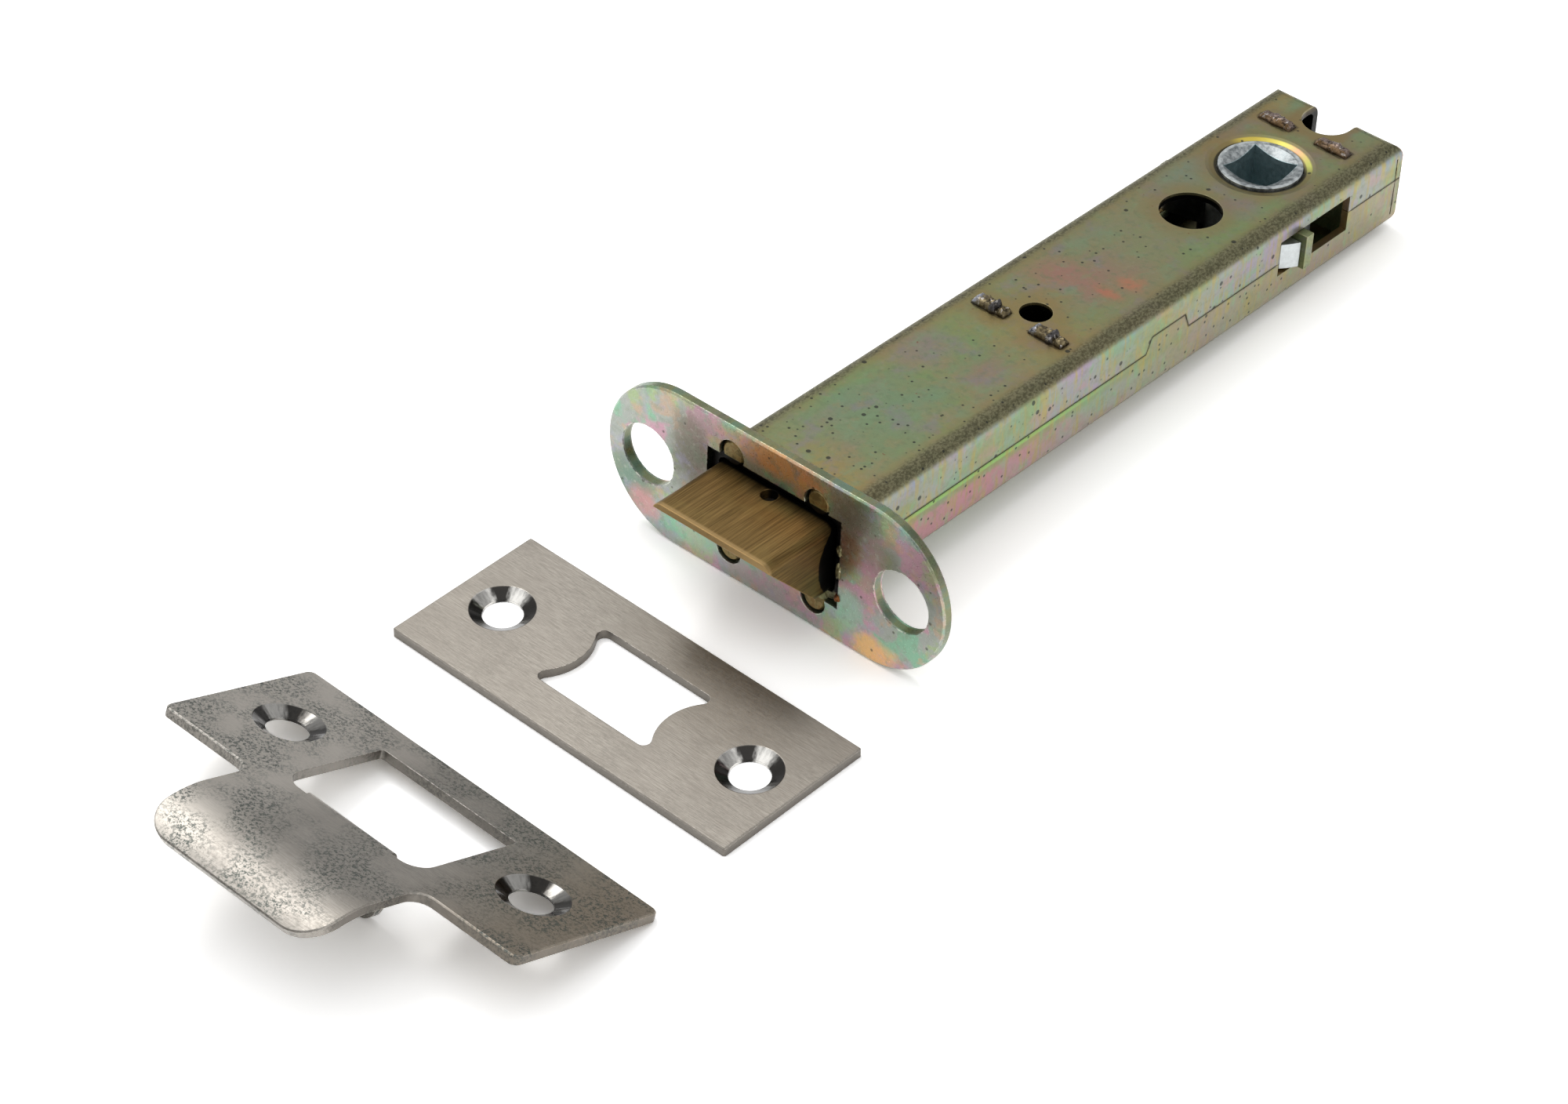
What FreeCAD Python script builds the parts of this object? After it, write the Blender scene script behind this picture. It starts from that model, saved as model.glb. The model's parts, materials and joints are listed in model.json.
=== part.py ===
import FreeCAD, Part
import math
import os
import re

import Sketcher

# A tubular mortice door latch with its forend cover plate and its strike plate.
# The origin is the centre of the forend's front face. X runs along the forend, Y runs back
# along the case, and Z goes through the thickness of the door. Millimetres and degrees.

DRIVING = {
    # case
    "case_width": 23.6,
    "case_height": 14.4,
    "sheet_gauge": 1.2,
    "bend_radius": 2.3,
    "case_recess": 0.9,
    "rear_length": 19.9,
    "split_height": 0.3,
    "split_step": 0.9,
    "seam_gap": 0.1,
    "corner_slit": 0.3,
    "corner_slit_root": 0.1,
    "lock_tab_reach": 65.7,
    "lock_tab_length": 9.7,
    "lock_tab_height": 2.4,
    "lock_tab_slope": 1.1,
    "drain_hole_reach": 54.8,
    "drain_hole_radius": 2.4,
    "rim_dish_width": 1.7,
    "rim_dish_depth": 0.45,
    # forend
    "forend_length": 60.3,
    "forend_width": 25.4,
    "forend_gauge": 1.7,
    "forend_edge": 0.25,
    "forend_hole_reach": 22.7,
    "forend_hole_radius": 4.75,
    "forend_fit": 0.1,
    "ear_reach": 7.6,
    "ear_radius": 2.1,
    "ear_rise": 0.9,
    "ear_recess": 0.25,
    "ear_depth": 1.3,
    "ear_chamfer": 0.5,
    # fixings
    "backset": 106.9,
    "fixing_reach": 16.7,
    "fixing_radius": 4.7,
    "notch_radius": 3.95,
    # follower
    "square_size": 7.8,
    "collar_wall": 0.8,
    "running_fit": 0.15,
    "hub_margin": 0.9,
    "dish_depth": 0.8,
    "lug_proud": 2.3,
    "lug_lead": 6.2,
    "lug_depth": 2.6,
    "lug_height": 4.2,
    "lug_level": 0.5,
    "lug_root_depth": 0.5,
    # carriage
    "leg_gauge": 1.2,
    "carriage_bend": 0.7,
    "tab_gauge": 1.6,
    "tab_proud": 1.75,
    "tab_clearance": 0.12,
    "slide_fit": 0.15,
    "draw_travel": 11.1,
    "web_reach": 27.0,
    "slot_length": 12.3,
    "window_headroom": 1.4,
    "window_margin": 0.4,
    "window_lead": 1.3,
    "window_stop": 0.25,
    # cross plates
    "spring_plate_reach": 50.5,
    "plate_gauge": 1.6,
    "stop_plate_margin": 1.0,
    "stake_inner": 2.6,
    "stake_length": 5.1,
    "stake_proud": 0.85,
    "stake_spread": 0.15,
    "stake_fit": 0.05,
    "stake_taper": 25.0,
    "chisel_place": 3.5,
    "chisel_width": 0.6,
    "chisel_depth": 0.45,
    "tail_window_radius": 3.8,
    # bolt
    "bolt_projection": 12.4,
    "bolt_stub": 13.4,
    "bolt_side_gap": 0.3,
    "bolt_land": 1.0,
    "bevel_angle": 45.5,
    "bolt_edge_round": 1.4,
    "bolt_nose_round": 0.3,
    "rod_radius": 2.0,
    "rod_depth": 16.7,
    "rod_end_radius": 3.2,
    "rod_end_length": 1.5,
    "rod_end_chamfer": 0.45,
    "pin_radius": 1.2,
    "pin_reach": -0.8,
    "pin_sink": 1.4,
    "spring_well_radius": 4.4,
    "spring_well_depth": 8.5,
    "small_fit": 0.05,
    # springs
    "bolt_spring_wire": 0.9,
    "bolt_spring_radius": 3.3,
    "bolt_spring_turns": 5,
    "lever_spring_wire": 1.5,
    "lever_spring_clearance": 0.3,
    "lever_spring_turns": 4,
    "spring_seat": 0.1,
    # forend cover plate
    "cover_length": 61.4,
    "cover_width": 25.9,
    "cover_gauge": 1.4,
    "cover_edge": 0.2,
    "cover_corner": 0.4,
    "cover_hole_reach": 22.9,
    "cover_hole_radius": 2.85,
    "cover_sink_radius": 4.65,
    "cover_sink_depth": 1.1,
    "cover_lobe_reach": 9.0,
    "cover_lobe_rise": 5.45,
    "cover_lobe_radius": 1.1,
    "cover_waist_radius": 8.0,
    "cover_offset": -1.5,
    "cover_reach": 28.6,
    "cover_turn": -1.15,
    # strike plate
    "strike_length": 64.9,
    "strike_width": 26.4,
    "strike_gauge": 1.35,
    "strike_edge": 0.2,
    "strike_corner": 1.2,
    "strike_hole_reach": 22.6,
    "strike_hole_radius": 2.95,
    "strike_sink_radius": 4.95,
    "strike_sink_depth": 1.05,
    "strike_opening_length": 24.8,
    "strike_opening_start": 5.8,
    "strike_opening_end": 23.9,
    "opening_corner": 0.5,
    "relief_radius": 3.2,
    "lip_flat": 7.6,
    "lip_bend": 17.0,
    "lip_angle": 38.2,
    "lip_width": 31.2,
    "lip_corner": 5.0,
    "lip_root_round": 2.6,
    "tongue_width": 15.6,
    "tongue_drop": 10.5,
    "tongue_inset": 1.35,
    "tongue_corner": 2.6,
    "tongue_bend": 1.1,
    "strike_offset": -2.0,
    "strike_reach": 55.2,
    "strike_turn": -1.55,
}

DERIVED = {
    "case_length": "backset + rear_length",
    "half_width": "case_width / 2",
    "half_height": "case_height / 2",
    "inner_width": "half_width - sheet_gauge",
    "inner_height": "half_height - sheet_gauge",
    "rear_split": "split_height + split_step",
    "fixing_place": "backset - fixing_reach",
    "notch_place": "backset + fixing_reach",
    "square_corner": "square_size / sqrt(2)",
    "collar_radius": "square_corner + collar_wall",
    "collar_hole": "collar_radius + running_fit",
    "rim_reach": "collar_hole + rim_dish_width",
    "leg_outer": "inner_width - slide_fit",
    "leg_inner": "leg_outer - leg_gauge",
    "leg_height": "half_height - bend_radius",
    "plate_height": "inner_height - slide_fit",
    "hub_radius": "leg_inner - hub_margin",
    "hub_height": "inner_height - slide_fit",
    "lug_radius": "half_width + lug_proud",
    "lug_low": "lug_level - lug_height / 2",
    "lug_high": "lug_level + lug_height / 2",
    "lug_tail": "lug_lead + lug_depth",
    "lug_lead_x": "sqrt(lug_radius ^ 2 - lug_lead ^ 2)",
    "lug_tail_x": "sqrt(lug_radius ^ 2 - lug_tail ^ 2)",
    "window_low": "lug_low - window_margin",
    "window_high": "lug_high + window_headroom",
    "tab_front": "backset - lug_lead + tab_clearance",
    "tab_rear": "tab_front + tab_gauge",
    "tab_tip": "half_width + tab_proud",
    "window_front": "backset - lug_tail - window_lead",
    "window_rear": "tab_rear + draw_travel + window_stop",
    "stop_plate_place": "notch_place - notch_radius - stop_plate_margin - plate_gauge",
    "plate_half": "leg_inner - slide_fit",
    "ear_level": "half_height + ear_rise",
    "bolt_half": "inner_width - bolt_side_gap",
    "bolt_height": "inner_height - slide_fit",
    "bevel_run": "(2 * bolt_height - bolt_land) / tan(bevel_angle)",
    "well_floor": "bolt_stub - spring_well_depth",
    "rod_front": "bolt_stub - rod_depth",
    "web_rear": "web_reach + leg_gauge",
    "rod_rear": "web_rear + slide_fit",
    "lever_spring_radius": "inner_height - lever_spring_clearance - lever_spring_wire / 2",
    "cover_lobe_gap": "cover_waist_radius + cover_lobe_radius",
    "cover_waist_run": "sqrt(cover_lobe_gap ^ 2 - cover_lobe_rise ^ 2)",
    "cover_meet_x": "cover_lobe_reach + cover_lobe_radius * cover_waist_run / cover_lobe_gap",
    "cover_meet_y": "cover_lobe_rise - cover_lobe_radius * cover_lobe_rise / cover_lobe_gap",
    "cover_opening_rise": "cover_lobe_rise + cover_lobe_radius",
    "lip_start": "strike_width + lip_flat",
    "lip_run": "lip_bend * sin(lip_angle)",
    "lip_inner": "lip_bend - strike_gauge",
    "lip_tip": "lip_start + lip_run",
    "lip_under_tip": "lip_start + lip_inner * sin(lip_angle)",
    "trim_reach": "2 * strike_length",
    "tongue_front": "strike_opening_end - tongue_inset",
    "tongue_back": "strike_opening_end + small_fit",
    "strike_tilt": "atan((tongue_drop - strike_gauge) / tongue_front) / 1 deg",
    "floor_run": "stop_plate_place + plate_gauge - forend_gauge",
    "floor_rise": "forend_width / 2 - half_height - stake_proud",
    "floor_tilt": "atan(floor_rise / floor_run) / 1 deg",
}

TOLERANCE = 1e-4
MATCH = 0.01
WIRE_SIDES = 4

doc = FreeCAD.newDocument("DoorLatch")
sheet = doc.addObject("Spreadsheet::Sheet", "Sizes")
NAME = re.compile(r"[a-z]+(?:_[a-z]+)*")


def fill_sheet():
    """Write every size to the sheet: driving ones as plain numbers, the rest as formulas."""
    rows = [(name, repr(value)) for name, value in DRIVING.items()]
    rows += [(name, "=" + formula) for name, formula in DERIVED.items()]
    for row, (name, text) in enumerate(rows, start=1):
        sheet.set("A%d" % row, name)
        sheet.set("B%d" % row, text)
        sheet.setAlias("B%d" % row, name)
    doc.recompute()


def number(formula):
    """The present value of a formula that is written with the sheet's names."""
    return float(sheet.evalExpression(formula))


def linked(formula):
    """The same formula, as another object of the document reads it from the sheet."""
    def prefix(match):
        word = match.group(0)
        return "Sizes." + word if word in DRIVING or word in DERIVED else word
    return NAME.sub(prefix, formula)


def bind(thing, path, formula):
    thing.setExpression(path, linked(formula))


def minus(formula):
    return "-(%s)" % formula


def origin_feature(body, role):
    return next(item for item in body.Origin.OriginFeatures if item.Role == role)


def new_body(name):
    body = doc.addObject("PartDesign::Body", name)
    body.Label = name
    return body


# Outlines: a corner is (x, y) or (x, y, bend), where the bend shapes the edge that leaves it.

def left(radius):
    """An arc that turns left, given by its radius."""
    return (1, radius, None)


def right(radius):
    """An arc that turns right, given by its radius."""
    return (-1, radius, None)


def about(turn, centre_x, centre_y):
    """An arc about a centre, turning left (1) or right (-1)."""
    return (turn, None, (centre_x, centre_y))


def ring(x, y, radius):
    return {"ring": (x, y, radius)}


def polygon(x, y, radius, sides):
    """A regular outline about a centre."""
    angles = [360 * index / sides for index in range(sides)]
    return [("%s + %s * cos(%g deg)" % (x, radius, angle), "%s + %s * sin(%g deg)" % (y, radius, angle))
            for angle in angles]


def rectangle(x_low, x_high, y_low, y_high):
    return [(x_low, y_low), (x_high, y_low), (x_high, y_high), (x_low, y_high)]


def arc_centre(start, end, turn, radius):
    chord = end.sub(start)
    middle = start.add(end).multiply(0.5)
    side = FreeCAD.Vector(-chord.y, chord.x, 0).normalize()
    rise = math.sqrt(max(radius ** 2 - (chord.Length / 2) ** 2, 0))
    return middle.add(side.multiply(turn * rise))


def arc_edge(start, end, bend):
    """The arc from start to end, and which of its own ends each corner is."""
    turn, radius, place = bend
    if place:
        centre = FreeCAD.Vector(number(place[0]), number(place[1]), 0)
    else:
        centre = arc_centre(start, end, turn, number(radius))
    first, last = (start, end) if turn > 0 else (end, start)
    angles = [math.atan2(point.y - centre.y, point.x - centre.x) for point in (first, last)]
    if angles[1] <= angles[0]:
        angles[1] += 2 * math.pi
    circle = Part.Circle(centre, FreeCAD.Vector(0, 0, 1), start.sub(centre).Length)
    return Part.ArcOfCircle(circle, *angles), (1, 2) if turn > 0 else (2, 1)


def fix(sketch, kind, where, formula):
    """Constrain a point's coordinate or a radius to a formula."""
    value = number(formula)
    if abs(value) < TOLERANCE and kind != "Radius":
        axis = -2 if kind == "DistanceX" else -1
        sketch.addConstraint(Sketcher.Constraint("PointOnObject", *where, axis))
        return
    index = sketch.addConstraint(Sketcher.Constraint(kind, *where, value))
    bind(sketch, "Constraints[%d]" % index, formula)


def draw_ring(sketch, x, y, radius):
    centre = FreeCAD.Vector(number(x), number(y), 0)
    circle = Part.Circle(centre, FreeCAD.Vector(0, 0, 1), number(radius))
    index = sketch.addGeometry(circle)
    fix(sketch, "DistanceX", (index, 3), x)
    fix(sketch, "DistanceY", (index, 3), y)
    fix(sketch, "Radius", (index,), radius)


def fix_bend(sketch, index, corners, bend):
    """Hold an arc by its radius, or by the centre's coordinate across its chord."""
    turn, radius, place = bend
    if radius:
        fix(sketch, "Radius", (index,), radius)
        return
    chord = corners[1].sub(corners[0])
    if abs(chord.y) > abs(chord.x):
        fix(sketch, "DistanceX", (index, 3), place[0])
    else:
        fix(sketch, "DistanceY", (index, 3), place[1])


def draw_outline(sketch, corners):
    places = [FreeCAD.Vector(number(corner[0]), number(corner[1]), 0) for corner in corners]
    count = len(corners)
    first = sketch.GeometryCount
    ends = []
    for index, corner in enumerate(corners):
        start, end = places[index], places[(index + 1) % count]
        edge, sides = Part.LineSegment(start, end), (1, 2)
        if len(corner) > 2:
            edge, sides = arc_edge(start, end, corner[2])
        sketch.addGeometry(edge)
        ends.append(sides)
    for index, corner in enumerate(corners):
        following = (index + 1) % count
        here = first + index
        sketch.addConstraint(Sketcher.Constraint(
            "Coincident", here, ends[index][1], first + following, ends[following][0]))
        fix(sketch, "DistanceX", (here, ends[index][0]), corner[0])
        fix(sketch, "DistanceY", (here, ends[index][0]), corner[1])
    for index, corner in enumerate(corners):
        if len(corner) > 2:
            fix_bend(sketch, first + index, (places[index], places[(index + 1) % count]), corner[2])


def draw_sketch(body, name, plane, level, outlines):
    """A sketch parallel to one of the body's planes, at a level along that plane's axis.
    On XY it reads x, y; on XZ it reads x, z; on YZ it reads y, z."""
    sketch = body.newObject("Sketcher::SketchObject", name)
    sketch.AttachmentSupport = [(origin_feature(body, plane + "_Plane"), "")]
    sketch.MapMode = "FlatFace"
    bind(sketch, "AttachmentOffset.Base.z", minus(level) if plane == "XZ" else level)
    for outline in outlines:
        if isinstance(outline, dict):
            draw_ring(sketch, *outline["ring"])
        else:
            draw_outline(sketch, outline)
    return sketch


def volume(body):
    return 0.0 if body.Shape.isNull() else body.Shape.Volume


def extrude(body, kind, name, plane, level, length, outlines):
    """A pad or pocket from a level, along the plane's axis towards its positive end."""
    before = volume(body)
    sketch = draw_sketch(body, name + "_sketch", plane, level, outlines)
    feature = body.newObject("PartDesign::" + kind, name)
    feature.Profile = sketch
    bind(feature, "Length", length)
    feature.Reversed = (kind == "Pad") == (plane == "XZ")
    doc.recompute()
    change = volume(body) - before
    if (change < TOLERANCE) if kind == "Pad" else (change > -TOLERANCE):
        raise ValueError("%s %s changes the volume by %.4f" % (body.Label, name, change))
    return feature


def pad(body, name, plane, level, length, *outlines):
    return extrude(body, "Pad", name, plane, level, length, outlines)


def cut(body, name, plane, level, length, *outlines):
    return extrude(body, "Pocket", name, plane, level, length, outlines)


def mirror(body, name, feature, plane):
    """Repeat a feature on the other side of one of the body's planes."""
    copy = body.newObject("PartDesign::Mirrored", name)
    copy.Originals = [feature]
    copy.MirrorPlane = (origin_feature(body, plane + "_Plane"), [""])
    body.Tip = copy
    doc.recompute()
    return copy


def at(edge, **places):
    """Whether an edge lies at a coordinate, such as x="half_width", or spans a pair of them."""
    box = edge.BoundBox
    spans = {"x": (box.XMin, box.XMax), "y": (box.YMin, box.YMax), "z": (box.ZMin, box.ZMax)}
    for axis, place in places.items():
        low, high = place if isinstance(place, tuple) else (place, place)
        ends = (number(low), number(high))
        if any(abs(end - value) > MATCH for end, value in zip(spans[axis], ends)):
            return False
    return True


def is_ring(edge, radius):
    curve = edge.Curve
    return isinstance(curve, Part.Circle) and abs(curve.Radius - number(radius)) < MATCH


def dress(body, kind, name, size, chosen):
    """A fillet or chamfer on the edges of the body's tip that chosen() picks."""
    base = body.Tip
    names = ["Edge%d" % (index + 1) for index, edge in enumerate(base.Shape.Edges) if chosen(edge)]
    if not names:
        raise ValueError("%s %s finds no edge" % (body.Label, name))
    feature = body.newObject("PartDesign::" + kind, name)
    feature.Base = (base, names)
    bind(feature, "Radius" if kind == "Fillet" else "Size", size)
    doc.recompute()
    return feature


def fillet(body, name, size, chosen):
    return dress(body, "Fillet", name, size, chosen)


def chamfer(body, name, size, chosen):
    return dress(body, "Chamfer", name, size, chosen)


def revolve(body, name, plane, level, axis, outline):
    sketch = draw_sketch(body, name + "_sketch", plane, level, [outline])
    feature = body.newObject("PartDesign::Revolution", name)
    feature.Profile = sketch
    feature.ReferenceAxis = (origin_feature(body, axis + "_Axis"), [""])
    feature.Angle = 360
    doc.recompute()
    return feature


def sink_cone(body, name, x, y, top, depth, lower_radius, upper_radius):
    """A conical cut from the level called top down, such as a countersink."""
    before = volume(body)
    cone = body.newObject("PartDesign::SubtractiveCone", name)
    bind(cone, "Radius1", lower_radius)
    bind(cone, "Radius2", upper_radius)
    bind(cone, "Height", depth)
    bind(cone, "Placement.Base.x", x)
    bind(cone, "Placement.Base.y", y)
    bind(cone, "Placement.Base.z", "%s - %s" % (top, depth))
    doc.recompute()
    if volume(body) > before - TOLERANCE:
        raise ValueError("%s %s cuts nothing" % (body.Label, name))
    return cone


def both_sides(low, high):
    """The spans from low to high to the right of the centre line and to its left."""
    return [(low, high), (minus(high), minus(low))]


# Case

def shell_section(seam, top, ceiling):
    return [(minus("half_width"), seam), (minus("half_width"), top), ("half_width", top),
            ("half_width", seam), ("inner_width", seam), ("inner_width", ceiling),
            (minus("inner_width"), ceiling), (minus("inner_width"), seam)]


def bend_shell(body, top, ceiling):
    """Round the long bends and the bend to the rear flange, outside and inside."""
    sides = ("half_width", minus("half_width"))
    fillet(body, "outer_bends", "bend_radius", lambda edge: at(edge, z=top) and (
        any(at(edge, x=side) for side in sides) or at(edge, y="case_length")))
    inner = ("inner_width", minus("inner_width"))
    fillet(body, "inner_bends", "bend_radius - sheet_gauge", lambda edge: at(edge, z=ceiling) and (
        any(at(edge, x=side) for side in inner) or at(edge, y="case_length - sheet_gauge")))


def cut_stake_slots(body, name, place):
    spans = both_sides("stake_inner - stake_fit", "stake_inner + stake_length + stake_fit")
    slots = [rectangle(low, high, place + " - stake_fit", place + " + plate_gauge + stake_fit")
             for low, high in spans]
    cut(body, name, "XY", minus("case_height"), "2 * case_height", *slots)


def cut_side_window(body):
    window = rectangle("window_front", "window_rear", "window_low", "window_high")
    cut(body, "side_windows", "YZ", minus("case_width"), "2 * case_width", window)


def cut_common_openings(body):
    """Openings that both shells share: follower, fixings, notch and cross-plate slots."""
    depth = "2 * case_height"
    floor = minus("case_height")
    cut(body, "follower_hole", "XY", floor, depth, ring("0", "backset", "collar_hole"))
    cut(body, "fixing_hole", "XY", floor, depth, ring("0", "fixing_place", "fixing_radius"))
    notch = [(minus("notch_radius"), "notch_place", about(1, "0", "notch_place")),
             ("notch_radius", "notch_place"), ("notch_radius", "case_length + sheet_gauge"),
             (minus("notch_radius"), "case_length + sheet_gauge")]
    cut(body, "rear_notch", "XY", floor, depth, notch)
    cut(body, "drain_hole", "XY", floor, depth, ring("0", "drain_hole_reach", "drain_hole_radius"))
    cut_stake_slots(body, "spring_plate_slots", "spring_plate_reach")
    cut_stake_slots(body, "stop_plate_slots", "stop_plate_place")
    cut_side_window(body)


def dish_rim(body, top, lower_radius, upper_radius):
    """Press the rim of the follower hole slightly inwards."""
    sink_cone(body, "follower_rim", "0", "backset", top, "rim_dish_depth", lower_radius, upper_radius)


def add_ears(body, level):
    """Ends of the shell that are staked outwards in the lobes of the forend's opening."""
    rings = [ring(reach, level, "ear_radius") for reach in ("ear_reach", minus("ear_reach"))]
    pad(body, "staked_ears", "XZ", "ear_recess", "ear_depth", *rings)
    chamfer(body, "ear_domes", "ear_chamfer",
            lambda edge: is_ring(edge, "ear_radius") and at(edge, y="ear_recess"))


def cut_corner_slits(body, low, high):
    """Tapered slits between the side walls and the rear flange."""
    rear = "case_length - sheet_gauge"
    slit = [(rear, low), (rear, high), (rear + " - corner_slit", high),
            (rear + " - corner_slit_root", low)]
    cut(body, "corner_slits", "YZ", minus("case_width"), "2 * case_width", slit)


def upper_case_shell():
    body = new_body("upper_case_shell")
    length = "case_length - case_recess"
    pad(body, "walls", "XZ", "case_recess", length,
        shell_section("split_height", "half_height", "inner_height"))
    pad(body, "rear_flange", "XZ", "case_length - sheet_gauge", "sheet_gauge",
        rectangle(minus("half_width"), "half_width", "split_height", "half_height"))
    bend_shell(body, "half_height", "inner_height")
    cut_corner_slits(body, "split_height - seam_gap", "half_height - bend_radius")
    rear_strip = rectangle("window_rear", "case_length + sheet_gauge", "split_height - sheet_gauge",
                           "rear_split")
    cut(body, "rear_step", "YZ", minus("case_width"), "2 * case_width", rear_strip)
    cut_common_openings(body)
    dish_rim(body, "half_height", "collar_hole", "rim_reach")
    low, high = "lock_tab_reach - seam_gap", "lock_tab_reach + lock_tab_length + seam_gap"
    top = "split_height + lock_tab_height + seam_gap"
    notch = [(low, "split_height - seam_gap"), (high, "split_height - seam_gap"),
             (high + " - lock_tab_slope", top), (low + " + lock_tab_slope", top)]
    cut(body, "lock_notches", "YZ", minus("case_width"), "2 * case_width", notch)
    add_ears(body, "ear_level")
    return body


def lower_case_shell():
    body = new_body("lower_case_shell")
    seam = "rear_split - seam_gap"
    top, ceiling = minus("half_height"), minus("inner_height")
    pad(body, "walls", "XZ", "case_recess", "case_length - case_recess",
        shell_section(seam, top, ceiling))
    pad(body, "rear_flange", "XZ", "case_length - sheet_gauge", "sheet_gauge",
        rectangle(minus("half_width"), "half_width", top, seam))
    bend_shell(body, top, ceiling)
    cut_corner_slits(body, "rear_split", "bend_radius - half_height")
    front_strip = rectangle("case_recess - sheet_gauge", "window_rear", "split_height - seam_gap",
                            "rear_split + sheet_gauge")
    cut(body, "front_step", "YZ", minus("case_width"), "2 * case_width", front_strip)
    cut_common_openings(body)
    dish_rim(body, "rim_dish_depth - half_height", "rim_reach", "collar_hole")
    low, high = "lock_tab_reach", "lock_tab_reach + lock_tab_length"
    peak = "split_height + lock_tab_height"
    tab = [(low, "split_height - sheet_gauge"), (high, "split_height - sheet_gauge"),
           (high, "split_height"), (high + " - lock_tab_slope", peak),
           (low + " + lock_tab_slope", peak), (low, "split_height")]
    right_tab = pad(body, "lock_tab", "YZ", "inner_width", "sheet_gauge", tab)
    mirror(body, "lock_tabs", right_tab, "YZ")
    add_ears(body, minus("ear_level"))
    return body


def forend_plate():
    body = new_body("forend_plate")
    straight = "forend_length / 2 - forend_width / 2"
    half = "forend_width / 2"
    plan = [(minus(straight), minus(half)), (straight, minus(half), about(1, straight, "0")),
            (straight, half), (minus(straight), half, about(1, minus(straight), "0"))]
    pad(body, "plate", "XZ", "0", "forend_gauge", plan)
    chamfer(body, "edges", "forend_edge",
           lambda edge: at(edge, y="0") or at(edge, y="forend_gauge"))
    hole = cut(body, "screw_hole", "XZ", "0", "forend_gauge",
               ring("forend_hole_reach", "0", "forend_hole_radius"))
    mirror(body, "screw_holes", hole, "YZ")
    width, height = "half_width + forend_fit", "half_height + forend_fit"
    cut(body, "case_opening", "XZ", "0", "forend_gauge",
        rectangle(minus(width), width, minus(height), height))
    lobes = [ring(x, z, "ear_radius + forend_fit") for x in ("ear_reach", minus("ear_reach"))
             for z in ("ear_level", minus("ear_level"))]
    cut(body, "ear_lobes", "XZ", "0", "forend_gauge", *lobes)
    return body


def cut_chisel_marks(body, place):
    """Grooves that a chisel left across the staked heads."""
    starts = ("stake_inner + chisel_place", "chisel_place - stake_inner - stake_length")
    marks = [rectangle(start, start + " + chisel_width", place + " - sheet_gauge",
                       place + " + plate_gauge + sheet_gauge") for start in starts]
    crown = "half_height + stake_proud"
    cut(body, "upper_marks", "XY", crown + " - chisel_depth", "chisel_depth", *marks)
    cut(body, "lower_marks", "XY", minus(crown), "chisel_depth", *marks)


def cross_plate(name, place, window_radius=None, chiselled=False):
    """A plate across the case whose four tabs pass through the shells and are staked over."""
    body = new_body(name)
    pad(body, "plate", "XZ", place, "plate_gauge",
        rectangle(minus("plate_half"), "plate_half", minus("plate_height"), "plate_height"))
    spans = both_sides("stake_inner", "stake_inner + stake_length")
    pad(body, "tabs", "XZ", place, "plate_gauge",
        *[rectangle(low, high, minus("half_height"), "half_height") for low, high in spans])
    wide = both_sides("stake_inner - stake_spread", "stake_inner + stake_length + stake_spread")
    head = pad(body, "staked_heads", "XY", "half_height", "stake_proud",
               *[rectangle(low, high, place + " - stake_spread", place + " + plate_gauge + stake_spread")
                 for low, high in wide])
    bind(head, "TaperAngle", minus("stake_taper"))
    mirror(body, "lower_heads", head, "XY")
    if chiselled:
        cut_chisel_marks(body, place)
    if window_radius:
        cut(body, "tail_window", "XZ", place, "plate_gauge", ring("0", "0", window_radius))
    return body


# Mechanism

def follower():
    body = new_body("follower")
    pad(body, "hub", "XY", minus("hub_height"), "2 * hub_height", ring("0", "0", "hub_radius"))
    pad(body, "collars", "XY", minus("half_height"), "case_height", ring("0", "0", "collar_radius"))
    lug_plan = [("0", minus("lug_lead")), ("0", minus("lug_lead + lug_root_depth")),
                ("lug_tail_x", minus("lug_tail"), about(1, "0", "0")),
                ("lug_lead_x", minus("lug_lead"))]
    lug = pad(body, "lug", "XY", "lug_low", "lug_height", lug_plan)
    mirror(body, "lugs", lug, "YZ")
    half = "square_size / 2"
    cut(body, "spindle_square", "XY", minus("half_height"), "case_height",
        rectangle(minus(half), half, minus(half), half))
    dish = sink_cone(body, "dish", "0", "0", "half_height", "dish_depth", half,
                     "square_corner + small_fit")
    mirror(body, "dishes", dish, "XY")
    bind(body, "Placement.Base.y", "backset")
    return body


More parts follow.
